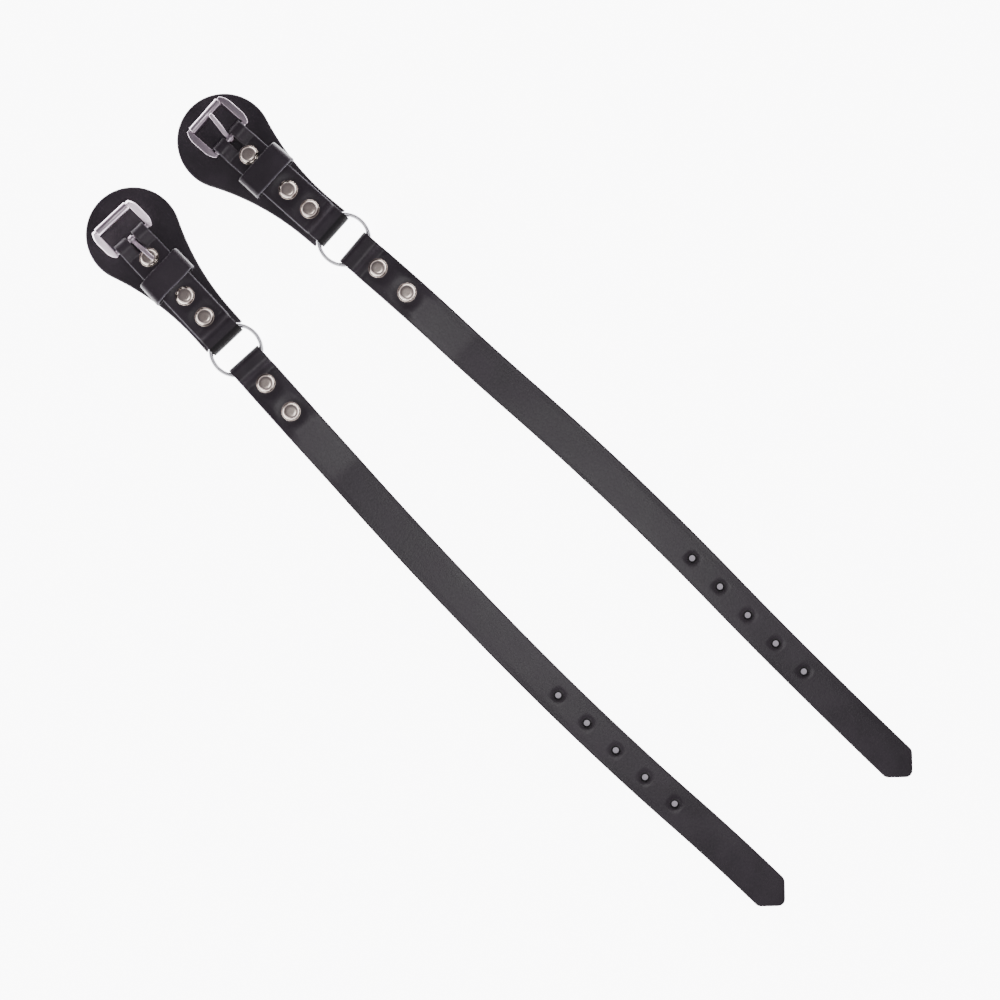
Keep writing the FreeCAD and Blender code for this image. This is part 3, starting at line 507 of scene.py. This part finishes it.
def makeBuckleStrap(side):
    shape = headShape
    fold, slope = shape["fold"], shape["slope"]
    corners = [("stopBuckle", "underLevel", 0), ("heelFoot", "underLevel", slope),
               ("heelCrown", "heelUnder", slope), ("heelEnd", "heelUnder", fold),
               ("heelEnd", "heelTop", fold), ("heelCrown", "heelTop", slope),
               ("heelFoot", "topLevel", slope), ("ringFoot", "topLevel", slope),
               ("ringCrown", "ringTop", slope), ("ringEnd", "ringTop", fold),
               ("ringEnd", "ringUnder", fold), ("ringCrown", "ringUnder", slope),
               ("ringFoot", "underLevel", slope), ("stopRing", "underLevel", 0)]
    path = FoldPath([(-shape[place], shape[level], rounding) for place, level, rounding in corners])
    slotFrom = path.find(-shape["slotEnd"], -1)
    slotTo = path.find(-shape["slotEnd"], 1)
    ringFrom = path.find(-shape["ringFoot"], 1)
    ringTo = path.length - (shape["stopRing"] - shape["ringFoot"])
    fine = [(slotFrom - 2, slotTo + 2), (ringFrom - 2, ringTo + 2)]
    stations = stationsBetween(path.length, 1.0, 0.45, fine)
    for stop in (slotFrom, slotTo):
        stations[np.argmin(np.abs(stations - stop))] = stop
    across = bothWays(columnsAcross)
    s, t = np.meshgrid(stations, across, indexing="ij")
    spot, along = path.at(s), path.tangent(s)
    x = spot[..., 0]
    inSlotRun = (s > slotFrom - 0.01) & (s < slotTo + 0.01)
    toSide = shape["half"] - np.abs(t)
    toEnd = np.minimum(s, path.length - s)
    toSlot = np.where(inSlotRun, np.abs(np.abs(t) - shape["slotHalf"]),
                      np.hypot(np.clip(np.abs(t) - shape["slotHalf"], 0, None),
                               np.minimum(np.abs(s - slotFrom), np.abs(s - slotTo))))
    far = np.minimum(np.minimum(toSide, toEnd), toSlot)
    inHeel = easing(s, slotFrom, slotFrom + 4) * (1 - easing(s, slotTo - 4, slotTo))
    inRing = easing(s, ringFrom, ringFrom + 3) * (1 - easing(s, ringTo - 3, ringTo))
    thick = (shape["thick"] + (shape["heelThick"] - shape["thick"]) * inHeel
             + (shape["loopThick"] - shape["thick"]) * inRing)
    half = thick / 2 * edgeRounding(far, shape["edge"], shape["edgeShare"])
    onTop = easing(s, slotTo, slotTo + 2) * (1 - easing(s, ringFrom - 2, ringFrom))
    dimples = rivetDimples(x, t, headRivets.values(), rivetShape["radius"],
                           rivetShape["dimpleReach"])
    seed = 1.1 + sides.index(side) * 1.9
    puff = onTop * shape["puff"] * dimples * easing(toSide, 0, 4.5)
    wave = shape["wave"] * gentleWaves(x, t, seed) * easing(far, 0, 3)
    out = np.stack([-along[..., 1], along[..., 0]], -1)
    # The folds narrow a little at their sides where the leather is drawn round.
    drawn = 1 - shape["drawn"] * (inRing + inHeel)
    upper = spot + out * (half + puff + wave)[..., None]
    lower = spot - out * (half - 0.6 * puff)[..., None]
    top = np.stack([upper[..., 0], t * drawn, upper[..., 1]], -1)
    under = np.stack([lower[..., 0], t * drawn, lower[..., 1]], -1)
    middleS = (stations[:-1] + stations[1:]) / 2
    middleT = (across[:-1] + across[1:]) / 2
    cutRun = (middleS > slotFrom) & (middleS < slotTo)
    keep = ~(cutRun[:, None] & (np.abs(middleT) < shape["slotHalf"])[None, :])
    wear = (1 - easing(np.minimum(toSide, toEnd), shape["raw"] * 0.5, shape["raw"])) * (1 - 0.45 * inRing)
    # Painted shade: the strap is darkened over its fold round the ring, from shadeStart on, through the
    # hollow mark.
    start, soft = -shape["shadeStart"], shape["shadeSoft"]
    shaded = easing(x, start - soft, start + soft) * shape["shade"]
    axes = axesOf[side]
    piece = leatherPiece(side + "BuckleStrap", axes.world(top, axes.head), axes.world(under, axes.head),
                         keep, wear, [strapLeather, fleshSide, paleCut], shaded)
    return addPiece(piece, side + "_head", "strap_leather", side + "_buckle_strap")


keeperShape = {
    "back": {"left": 49.2, "right": 50.85}, "askew": {"left": 0.08, "right": -0.02},
    "length": 12.7, "half": 12.3, "low": 3.9, "top": 10.35, "lowRound": 1.7, "topRound": 2.3,
    "thick": 1.5, "crown": 0.22, "gap": 0.12, "step": 0.55, "edge": 0.6, "edgeShare": 0.4,
    "wave": 0.05, "flare": 0.006, "raw": 0.8, "ringSideWear": 1.1, "padSideWear": 0.1,
}


def makeKeeper(side):
    shape = keeperShape
    path = FoldPath([(shape["gap"], shape["low"], 0), (shape["half"], shape["low"], shape["lowRound"]),
                     (shape["half"], shape["top"], shape["topRound"]),
                     (-shape["half"], shape["top"], shape["topRound"]),
                     (-shape["half"], shape["low"], shape["lowRound"]), (-shape["gap"], shape["low"], 0)])
    stations = stationsBetween(path.length, shape["step"], shape["step"], [])
    halfLength = shape["length"] / 2
    spread = [0, 1.3, 2.6, 3.8, 4.8, 5.5, 5.9, 6.12, 6.27, halfLength]
    s, t = np.meshgrid(stations, bothWays(spread), indexing="ij")
    spot, along = path.at(s), path.tangent(s)
    toSide = halfLength - np.abs(t)
    far = np.minimum(toSide, np.minimum(s, path.length - s))
    half = shape["thick"] / 2 * edgeRounding(far, shape["edge"], shape["edgeShare"])
    onTop = easing(spot[..., 1], shape["top"] - 0.6, shape["top"])
    y = spot[..., 0]
    crown = onTop * shape["crown"] * (1 - (y / shape["half"]) ** 2)
    wave = shape["wave"] * gentleWaves(t * 2.0, y, 4.0 + sides.index(side))
    out = np.stack([along[..., 1], -along[..., 0]], -1)
    upper = spot + out * (half + wave * easing(far, 0, 2) + crown)[..., None]
    lower = spot - out * (half - crown)[..., None]
    # Its ring-side edge stands a hair wider than the other.
    flare = 1 + shape["flare"] * t / halfLength
    x = t - shape["back"][side] - shape["askew"][side] * y * np.abs(y) / shape["half"]
    top = np.stack([x, upper[..., 0] * flare, upper[..., 1]], -1)
    under = np.stack([x, lower[..., 0] * flare, lower[..., 1]], -1)
    keep = np.ones((s.shape[0] - 1, s.shape[1] - 1), dtype=bool)
    wear = 1 - easing(toSide, shape["raw"] * 0.45, shape["raw"])
    # Raw pale edges, with painted light on the ring-side cut edge and painted shade dimming the pad-side
    # one almost to the grain's colour.
    wear = wear * np.where(t > 0, shape["ringSideWear"], shape["padSideWear"])
    axes = axesOf[side]
    piece = leatherPiece(side + "Keeper", axes.world(top, axes.head), axes.world(under, axes.head),
                         keep, wear, [strapLeather, fleshSide, paleCut])
    return addPiece(piece, side + "_keeper", "strap_leather", side + "_keeper")


longShape = {
    "half": 9.5, "thick": 1.94, "loopThick": 1.0, "underLevel": 1.9, "topLevel": 3.9, "floorLevel": 1.0,
    "ringUnder": 1.5, "ringTop": 6.7, "ringEnd": 5.45, "ringCrown": 13.4, "ringFoot": 17.4,
    "underStop": 46.0, "sagStart": 50.0, "sagEnd": 78.0, "fold": 2.25, "slope": 4.0,
    "sagBendHigh": 30.0, "sagBendLow": 60.0, "tipStraight": 14.0, "tipRound": 3.5, "tipShoulder": 4.0,
    "holeFirst": 232.0, "holePitch": 19.6, "holeRadius": 1.5, "holeCount": 5, "dish": 1.3,
    "dishReach": 1.3, "cellsPerPitch": 20, "column": 0.95, "tipStep": 0.94, "tipRows": 20,
    "edge": 0.65, "edgeShare": 0.40, "skived": 0.45, "skiveLength": 7, "puff": 0.40,
    "wave": 0.09, "border": 0.04, "borderPlace": 1.6, "borderWidth": 0.9, "drawn": 0.018,
    "raw": 0.35, "shadeStart": 6.6, "shadeSoft": 0.6, "shade": 0.9,
}
# Gentle bends lying on the floor: length and turn of each run, from the ring.
strapBends = {
    "left": [(90.0, 0.0), (89.0, 2.2), (35.0, 0.9), (103.5, 3.7), (51.5, -2.5)],
    "right": [(71.5, -2.8), (44.4, 1.7), (74.0, -2.7), (64.0, -2.2), (39.4, 1.0), (76.2, 1.2)],
}
holeCell, holeReach = 3, 7   # cells from a hole's centre to its edge, and to where the grid is even


def alongBends(side, x, offset):
    # Plan position of a point at distance x along the strap's middle, offset to its left.
    at = np.stack([np.minimum(x, 0.0), np.zeros_like(x)], -1)
    heading = np.zeros_like(x)
    left = np.clip(x, 0, None)
    for length, turn in strapBends[side] + [(1000.0, 0.0)]:
        step = np.minimum(left, length)
        bend = math.radians(turn) * step / length
        middle = heading + bend / 2
        chord = step * np.sinc(bend / 2 / math.pi)
        at = at + np.stack([np.cos(middle), np.sin(middle)], -1) * chord[..., None]
        heading = heading + bend
        left = left - step
    return at + np.stack([-np.sin(heading), np.cos(heading)], -1) * offset[..., None]


def tipEnd(whole, t):
    # Where the blunt point ends at each distance from the strap's middle.
    shape = longShape
    nose, shoulder, half = shape["tipRound"], shape["tipShoulder"], shape["half"]
    peak = whole + nose * (math.sqrt(2) - 1)
    onSide = peak - half - shoulder * math.tan(math.pi / 8)
    aside = np.abs(t)
    onNose = whole - nose + np.sqrt(np.clip(nose ** 2 - aside ** 2, 0, None))
    onShoulder = onSide + np.sqrt(np.clip(shoulder ** 2 - (aside - half + shoulder) ** 2, 0, None))
    end = np.where(aside < nose * math.sqrt(0.5), onNose, peak - aside)
    return np.where(aside > half - shoulder * (1 - math.sqrt(0.5)), onShoulder, end)


def makeLongStrap(side):
    shape = longShape
    half = shape["half"]
    whole = sum(length for length, turn in strapBends[side]) + shape["tipStraight"]
    fold, slope = shape["fold"], shape["slope"]
    corners = [("underStop", "underLevel", 0), ("ringFoot", "underLevel", slope),
               ("ringCrown", "ringUnder", slope), ("ringEnd", "ringUnder", fold),
               ("ringEnd", "ringTop", fold), ("ringCrown", "ringTop", slope),
               ("ringFoot", "topLevel", slope), ("sagStart", "topLevel", shape["sagBendHigh"]),
               ("sagEnd", "floorLevel", shape["sagBendLow"])]
    path = FoldPath([(shape[place], shape[level], rounding) for place, level, rounding in corners]
                    + [(whole + 5, shape["floorLevel"], 0)])
    firstHole = path.find(shape["holeFirst"], 1)
    tipAt = path.find(whole, 1)
    perPitch = shape["cellsPerPitch"]
    cell = shape["holePitch"] / perPitch
    tipStart = firstHole + math.floor((tipAt - perPitch * cell - firstHole) / cell) * cell
    evenBefore = firstHole - perPitch // 2 * cell
    loopEnd = path.find(shape["ringFoot"] + 3, 1)
    loopStart = shape["underStop"] - shape["ringFoot"] - 3
    stations = np.concatenate([[0, 0.12, 0.35, 0.7], np.arange(1.6, loopStart, 1.0),
                               np.arange(loopStart, loopEnd, 0.45),
                               np.arange(loopEnd, evenBefore - 0.6, cell),
                               np.arange(evenBefore, tipStart + cell / 2, cell)])
    columns = np.concatenate([np.arange(9) * shape["column"], [8.25, 8.75, 9.1, 9.3, 9.44, 9.5]])
    across = bothWays(list(columns))
    s, t = np.meshgrid(stations, across, indexing="ij")
    # The last stretch is drawn out to the tip's outline, closer towards its edge.
    shares = np.concatenate([np.linspace(0, shape["tipStep"], shape["tipRows"])[1:],
                             [0.965, 0.98, 0.99, 0.996, 1.0]])
    tipAtT = tipAt + tipEnd(whole, across) - whole
    drawn = stations[-1] + (tipAtT[None, :] - stations[-1]) * shares[:, None]
    s = np.concatenate([s, drawn])
    t = np.concatenate([t, np.repeat(across[None, :], len(shares), axis=0)])
    keep = np.ones((s.shape[0] - 1, s.shape[1] - 1), dtype=bool)
    toHole = np.full(s.shape, 1e3)
    middleColumn = len(across) // 2
    for hole in range(shape["holeCount"]):
        centre = firstHole + hole * shape["holePitch"]
        row = int(np.argmin(np.abs(stations - centre)))
        rows = slice(row - holeReach, row + holeReach + 1)
        columnsHere = slice(middleColumn - holeReach, middleColumn + holeReach + 1)
        u, v = s[rows, columnsHere] - centre, t[rows, columnsHere]
        squareness = np.maximum(np.abs(u) / cell, np.abs(v) / shape["column"])
        angle = np.arctan2(v, u)
        fromEdge = np.interp(squareness, [holeCell, 4, 5, 6, holeReach], [0, 0.45, 0.95, 1.6, 3.2])
        radius = shape["holeRadius"] + fromEdge
        share = np.interp(squareness, [holeCell, 5, holeReach], [0, 0.15, 1.0])
        s[rows, columnsHere] = centre + (1 - share) * radius * np.cos(angle) + share * u
        t[rows, columnsHere] = (1 - share) * radius * np.sin(angle) + share * v
        keep[row - holeCell:row + holeCell, middleColumn - holeCell:middleColumn + holeCell] = False
        toHole = np.minimum(toHole, np.clip(np.hypot(s - centre, t) - shape["holeRadius"], 0, None))
    spot, along = path.at(s), path.tangent(s)
    x = spot[..., 0]
    toTip = np.clip(tipEnd(whole, t) - (s - tipAt + whole), 0, None)
    toTip = toTip * np.where(np.abs(t) > 2.5, math.sqrt(0.5), 1.0)
    toSide = half - np.abs(t)
    far = np.minimum(np.minimum(toSide, s), np.minimum(toTip, toHole))
    inRing = easing(s, loopStart + 3, loopStart + 6) * (1 - easing(s, loopEnd - 6, loopEnd - 3))
    thick = shape["thick"] + (shape["loopThick"] - shape["thick"]) * inRing
    # The under ply's end is skived.
    thick = thick * (1 - shape["skived"] * (1 - easing(s, 0, shape["skiveLength"])))
    farOutside = np.minimum(np.minimum(toSide, s), toTip)
    body = thick / 2 * edgeRounding(farOutside, shape["edge"], shape["edgeShare"])
    onTop = easing(s, loopEnd - 3, loopEnd)
    seed = 0.4 + sides.index(side) * 2.7
    dimples = rivetDimples(x, t, strapRivets.values(), rivetShape["radius"],
                           rivetShape["dimpleReach"])
    nearRivets = 1 - easing(x, 46, 56)
    puff = onTop * nearRivets * shape["puff"] * dimples * easing(toSide, 0, 4.5)
    wave = shape["wave"] * gentleWaves(x * 0.8, t, seed) * easing(far, 0, 3) * (1 - nearRivets * 0.5)
    dish = -shape["dish"] * (1 - np.clip(toHole / shape["dishReach"], 0, 1)) ** 1.6
    # A faint rubbed border runs along both edges.
    border = np.exp(-((toSide - shape["borderPlace"]) / shape["borderWidth"]) ** 2) * (1 - inRing)
    out = np.stack([-along[..., 1], along[..., 0]], -1)
    upper = spot + out * (body + puff + wave + dish - shape["border"] * border)[..., None]
    lower = spot - out * (body - 0.5 * puff)[..., None]
    narrow = 1 - shape["drawn"] * inRing
    plans = [alongBends(side, ply[..., 0], t * narrow) for ply in (upper, lower)]
    top = np.concatenate([plans[0], upper[..., 1:]], -1)
    under = np.concatenate([plans[1], lower[..., 1:]], -1)
    wear = (1 - easing(np.minimum(np.minimum(toSide, s), toTip), 0.0, shape["raw"])) * 0.5
    # Painted shade: dark in each punched hole's dish and over the fold round the ring, through the hollow
    # mark.
    hollow = 1 - easing(toHole, 0.6, shape["dishReach"])
    underRing = 1 - easing(x, shape["shadeStart"] - shape["shadeSoft"], shape["shadeStart"])
    hollow = np.maximum(hollow, underRing * shape["shade"])
    axes = axesOf[side]
    piece = leatherPiece(side + "LongStrap", axes.world(top, axes.strap), axes.world(under, axes.strap),
                         keep, wear, [strapLeather, fleshSide, darkCut], hollow)
    return addPiece(piece, side + "_long_strap", "strap_leather", side + "_long_strap")


def ringFaces(rings, count, closed=False):
    # Four-sided faces between each ring of points and the next.
    faces = []
    for ring in range(rings if closed else rings - 1):
        here, after = ring * count, (ring + 1) % rings * count
        for step in range(count):
            onward = (step + 1) % count
            faces.append((here + step, here + onward, after + onward, after + step))
    return faces


def endFaces(rings, count):
    last = (rings - 1) * count
    return [tuple(range(count))[::-1], tuple(range(last, last + count))]


def latheMesh(profile, count, closed=False):
    # Points and faces of a turned shape about +z from (radius, height) pairs.
    points = []
    for radius, height in profile:
        for step in range(count):
            angle = 2 * math.pi * step / count
            points.append((radius * math.cos(angle), radius * math.sin(angle), height))
    faces = ringFaces(len(profile), count, closed)
    return np.array(points), faces if closed else faces + endFaces(len(profile), count)


def capProfile():
    # A pressed cap: rolled rim, a shallow step and a flattened dome.
    shape = rivetShape
    rim, lip, radius = shape["rim"], shape["lip"], shape["radius"]
    profile = [(radius - 0.9, 0.02), (radius - 0.35, 0.02)]
    profile += [(radius - lip + lip * math.cos(angle), rim / 2 + rim / 2 * math.sin(angle))
                for angle in np.linspace(-1.3, 1.45, 9)]
    start = radius - lip * 0.75
    rise = shape["height"] - rim
    profile += [(start * share, shape["height"] - rise * share ** shape["domePower"])
                for share in np.linspace(0.97, 0.01, 18)]
    return profile


def makeRivets(side):
    shape, axes = rivetShape, axesOf[side]
    for group, level, heading, body in ((headRivets, shape["headLevel"], axes.head, "_head"),
                                        (strapRivets, shape["strapLevel"], axes.strap, "_long_strap")):
        for name, x in group.items():
            points, faces = latheMesh(capProfile(), shape["sides"])
            placed = axes.world(points + np.array([x, 0, level]), heading)
            label = side + "".join(word.capitalize() for word in name.split("_")) + "RivetCap"
            piece = makeObject(label, placed, faces, [rivetNickel])
            addPiece(piece, side + body, "rivet_nickel", side + "_" + name + "_rivet_cap")


buckleShape = {
    "heelBack": 74.5, "heelLevel": 6.0, "reach": 16.4, "over": 1.3, "half": 13.7, "inner": 10.1,
    "thick": 2.6, "farCut": 3.7, "nearCut": 3.4, "cutIn": 1.9, "bevel": 0.45, "barRadius": 1.25,
    "barSunk": 0.6, "innerRound": 0.47, "turnedRound": 0.8, "nearRound": 9.0, "farRound": 10.0,
    "rollerRadius": 2.1, "rollerHalf": 9.9, "eyeRadius": 2.2, "clearance": 0.06,
    "tongueHalf": 1.15, "tongueThick": 1.1, "tongueReach": 16.6, "tongueStart": 1.7,
    "tipLength": 1.4, "tongueSides": 20, "tongueRise": 0.04, "crispAngle": 40.0,
    "tongueLean": {"left": 0.09, "right": 0.13}, "frameTilt": {"left": 45.0, "right": 0.0},
    "tongueTilt": {"left": 157.6, "right": 36.0},
}


def onHeelBar(side, points, tilt):
    # From the heel bar's own axes, with its reach towards -x, to the frame's metres.
    angle = math.radians(tilt)
    points = np.asarray(points, dtype=float)
    x = points[..., 0] * math.cos(angle) + points[..., 2] * math.sin(angle)
    z = -points[..., 0] * math.sin(angle) + points[..., 2] * math.cos(angle)
    placed = np.stack([x - buckleShape["heelBack"], points[..., 1], z + buckleShape["heelLevel"]], -1)
    return axesOf[side].world(placed, axesOf[side].head)


def roundedOutline(corners, arcSteps=7):
    # Closed outline through corners (x, y, rounding).
    spots = [np.array(corner[:2], dtype=float) for corner in corners]
    outline = []
    for place, corner in enumerate(corners):
        after = spots[(place + 1) % len(spots)]
        outline += cornerArc(spots[place - 1], spots[place], after, corner[2], arcSteps)
    return np.array(outline)


def insetOutline(outline, distance):
    # The outline moved inwards by a distance; it runs anticlockwise.
    ahead = np.roll(outline, -1, axis=0) - outline
    behind = outline - np.roll(outline, 1, axis=0)
    ahead = ahead / np.linalg.norm(ahead, axis=1, keepdims=True)
    behind = behind / np.linalg.norm(behind, axis=1, keepdims=True)
    normal = np.stack([-(ahead[:, 1] + behind[:, 1]), ahead[:, 0] + behind[:, 0]], -1)
    normal = normal / np.linalg.norm(normal, axis=1, keepdims=True)
    miter = np.clip((normal * np.stack([-ahead[:, 1], ahead[:, 0]], -1)).sum(1), 0.5, 1)
    return outline + normal * (distance / miter)[:, None]


def bevelledPlate(outline, thick, bevel, steps=7):
    # Points and faces of a plate whose upper and lower edges are rounded over.
    count = len(outline)
    layers = []
    for way in (-1, 1):
        angles = np.linspace(0, math.pi / 2, steps)
        part = [(bevel * (1 - math.cos(angle)), way * (thick / 2 - bevel + bevel * math.sin(angle)))
                for angle in angles]
        layers += part[::-1] if way == -1 else part
    points = [np.concatenate([insetOutline(outline, inset), np.full((count, 1), height)], axis=1)
              for inset, height in layers]
    return np.concatenate(points), ringFaces(len(layers), count) + endFaces(len(layers), count)


def joinShells(shells):
    points, faces, done = [], [], 0
    for shellPoints, shellFaces in shells:
        points.append(np.asarray(shellPoints, dtype=float))
        faces += [tuple(corner + done for corner in face) for face in shellFaces]
        done += len(shellPoints)
    return np.concatenate(points), faces


def barAcross(x, radius, halfLength, rounding=0.3, hollow=None):
    # A round bar or tube along y; its ends are rounded over.
    turns = np.linspace(0, math.pi / 2, 4)
    outer = [(radius - rounding + rounding * math.sin(turn),
              -halfLength + rounding - rounding * math.cos(turn)) for turn in turns]
    profile = outer + [(r, -z) for r, z in outer[::-1]]
    if hollow:
        profile = profile + [(hollow, halfLength - 0.1), (hollow, -halfLength + 0.1)]
        points, faces = latheMesh(profile, 48, closed=True)
    else:
        points, faces = latheMesh(profile, 40)
    placed = np.stack([points[:, 0] + x, points[:, 2], -points[:, 1]], -1)
    return placed, faces


def addBucklePart(side, name, node, shell, tilt):
    # One nickel part, turned on the heel bar; its corners are kept crisp and the rest smooth.
    points, faces = shell
    piece = makeObject(side + name, onHeelBar(side, points, tilt), faces, [buckleNickel])
    piece.data.set_sharp_from_angle(angle=math.radians(buckleShape["crispAngle"]))
    addPiece(piece, side + node, "buckle_nickel", side + node)


def makeBuckle(side):
    shape = buckleShape
    near, far = shape["over"], -shape["reach"] - shape["over"]
    inner, turnedIn = shape["inner"], shape["half"] - shape["cutIn"]
    outline = roundedOutline([
        (far, inner, shape["innerRound"]), (near, inner, shape["innerRound"]),
        (near, turnedIn, shape["turnedRound"]),
        (near - shape["nearCut"], shape["half"], shape["nearRound"]),
        (far + shape["farCut"], shape["half"], shape["farRound"]),
        (far, turnedIn, shape["turnedRound"])])
    mirrored = outline[::-1] * np.array([1, -1])
    bars = [bevelledPlate(plan, shape["thick"], shape["bevel"]) for plan in (outline, mirrored)]
    bars += [barAcross(x, shape["barRadius"], inner + shape["barSunk"]) for x in (0.0, -shape["reach"])]
    roller = barAcross(-shape["reach"], shape["rollerRadius"], shape["rollerHalf"], 0.45,
                       shape["barRadius"] + shape["clearance"])
    tilt = shape["frameTilt"][side]
    addBucklePart(side, "BuckleFrame", "_buckle_frame", joinShells(bars), tilt)
    addBucklePart(side, "Roller", "_roller", roller, tilt)


def makeTongue(side):
    # A flat prong, a little narrower and thinner at its rounded tip, with a rolled eye.
    shape = buckleShape
    half, thick, reach = shape["tongueHalf"], shape["tongueThick"] / 2, shape["tongueReach"]
    start, tipStart, around = shape["tongueStart"], reach - shape["tipLength"], shape["tongueSides"]
    points = []
    spots = list(np.linspace(start, tipStart, 14)) + [reach - 0.8, reach - 0.35, reach - 0.1, reach]
    for spot in spots:
        tip = math.sqrt(max(0.0, 1 - (max(0.0, spot - tipStart) / 1.45) ** 2))
        waist = 1 - 0.10 * float(easing(spot, 5, reach))
        width = half * waist * (0.25 + 0.75 * tip)
        deep = thick * (1 - 0.12 * float(easing(spot, 6, reach))) * (0.35 + 0.65 * tip)
        lift = shape["tongueRise"] * math.sin(math.pi * (spot - start) / reach)
        aside = shape["tongueLean"][side] * (spot - start) * float(easing(spot, start, 8))
        for step in range(around):
            angle = 2 * math.pi * (step + 0.5) / around
            out, up = math.cos(angle), math.sin(angle)
            y = width * math.copysign(abs(out) ** 0.45, out) + aside
            z = deep * math.copysign(abs(up) ** 0.6, up) + lift
            points.append((-spot, y, z))
    faces = [(a, d, c, b) for a, b, c, d in ringFaces(len(spots), around)]
    faces += [face[::-1] for face in endFaces(len(spots), around)]
    eye = barAcross(0.0, shape["eyeRadius"], half, 0.25, shape["barRadius"] + shape["clearance"])
    addBucklePart(side, "Tongue", "_tongue", joinShells([(points, faces), eye]),
                  shape["tongueTilt"][side])


for side in sides:
    makePad(side)
    makeBuckleStrap(side)
    makeKeeper(side)
    makeLongStrap(side)
    print(side, "leather made")
    makeBuckle(side)
    makeTongue(side)
    makeRivets(side)
    print(side, "metal made")

carriedLooks = {"ring": ringChrome, "head_rivet_bases": rivetNickel, "strap_rivet_bases": rivetNickel}
for node, material in carriedLooks.items():
    for side in sides:
        carried = frame["nodes"][side + "_" + node]
        for slot in carried.material_slots:
            slot.material = material


studio = {
    "cameraHeight": 1.10, "cameraX": 2.45 * mm, "cameraY": 1.1 * mm, "viewWidth": 0.493, "roll": 45.0,
    "sensor": 36.0, "floor": (0.93, 0.93, 0.94), "floorGlow": 10.0, "floorReach": 6, "floorLevel": -0.0002,
    "shade": (0.55, 0.51, 0.57), "shadeGlow": 0.42, "shadeRadius": 2.05, "shadeLevel": -0.05,
    "shadeSides": 24,
    "overPads": (0.15, 0.14, 0.16), "overTips": (0.34, 0.32, 0.35), "walls": (1.7, 1.62, 1.7),
    "opening": (0.12, 0.62),
}
softboxes = {
    "sideSoftbox": {"place": (0.2, -1.6, 0.9), "aim": (0, 0, 0), "size": (1.4, 1.0), "power": 9.0},
    "overheadSoftbox": {"place": (0.09, 0.0, 1.22), "aim": (0.09, 0, 0), "size": (0.2, 0.2), "power": 2.0},
}


def makeSoftbox(name, place, aim, size, power):
    light = bpy.data.lights.new(name, "AREA")
    light.shape = "RECTANGLE"
    light.size, light.size_y = size
    light.energy = power
    lamp = bpy.data.objects.new(name, light)
    lamp.location = place
    lamp.rotation_euler = (Vector(aim) - Vector(place)).to_track_quat("-Z", "Y").to_euler()
    bpy.context.scene.collection.objects.link(lamp)


def makeRoom():
    # A light tent: bright walls, and an opening overhead that is dimmer above the pads.
    world = bpy.data.worlds.new("lightTent")
    world.use_nodes = True
    world.node_tree.nodes.clear()
    start = Wire(world.node_tree)
    direction = start.add("ShaderNodeTexCoord", output=0)
    height = direction.add("ShaderNodeSeparateXYZ", None, {0: direction}, output=2)
    toTips = direction.add("ShaderNodeSeparateXYZ", None, {0: direction})
    overhead = toTips.between(-0.25, 0.55).mix(studio["overPads"], studio["overTips"])
    glow = height.between(*studio["opening"]).mix(studio["walls"], overhead)
    background = start.add("ShaderNodeBackground", None, {"Color": glow, "Strength": 1.0})
    start.add("ShaderNodeOutputWorld", None, {"Surface": background})
    bpy.context.scene.world = world


def makeFloorShade():
    # Painted shade: grey, faintly glowing discs laid on the glowing floor stand in for the shadow in the
    # bottom of each punched hole.
    material, start = newMaterial("shadedFloor")[:2]
    tone = (*studio["shade"], 1.0)
    finishMaterial(start, {"Base Color": tone, "Roughness": 0.9, "Emission Color": tone,
                           "Emission Strength": studio["shadeGlow"]})
    count = studio["shadeSides"]
    turn = np.linspace(0, 2 * math.pi, count, endpoint=False)
    ring = studio["shadeRadius"] * np.stack([np.cos(turn), np.sin(turn)], -1)
    for side in sides:
        axes = axesOf[side]
        run = longShape["holeFirst"] + np.arange(longShape["holeCount"]) * longShape["holePitch"]
        plan = alongBends(side, run, 0 * run)[:, None, :] + ring[None]
        level = np.full(plan.shape[:2] + (1,), studio["shadeLevel"])
        points = np.concatenate([plan, level], -1).reshape(-1, 3)
        faces = [tuple(range(count * hole, count * hole + count)) for hole in range(len(run))]
        makeObject(side + "FloorShade", axes.world(points, axes.strap), faces, [material])


def makeStudio():
    reach = studio["floorReach"]
    corners = [(x, y, studio["floorLevel"]) for x, y in ((-reach, -reach), (reach, -reach),
                                                         (reach, reach), (-reach, reach))]
    material, start, place = newMaterial("paleFloor")
    faint = noiseOf(place, 3.0, 2.0)
    tone = faint.mix(studio["floor"], [part * 0.995 for part in studio["floor"]])
    finishMaterial(start, {"Base Color": tone, "Roughness": 0.9, "Emission Color": tone,
                           "Emission Strength": studio["floorGlow"]})
    floor = makeObject("floor", corners, [(0, 1, 2, 3)], [material])
    makeFloorShade()
    makeRoom()
    for name, settings in softboxes.items():
        makeSoftbox(name, **settings)
    camera = bpy.data.cameras.new("camera")
    camera.type = "PERSP"
    camera.sensor_width = studio["sensor"]
    camera.lens = studio["sensor"] * studio["cameraHeight"] / studio["viewWidth"]
    camera.clip_start = 0.05
    viewer = bpy.data.objects.new("camera", camera)
    viewer.location = (studio["cameraX"], studio["cameraY"], studio["cameraHeight"])
    viewer.rotation_euler = (0, 0, math.radians(studio["roll"]))
    bpy.context.scene.collection.objects.link(viewer)
    bpy.context.scene.camera = viewer


makeStudio()
print("studio made")

bpy.context.view_layer.update()
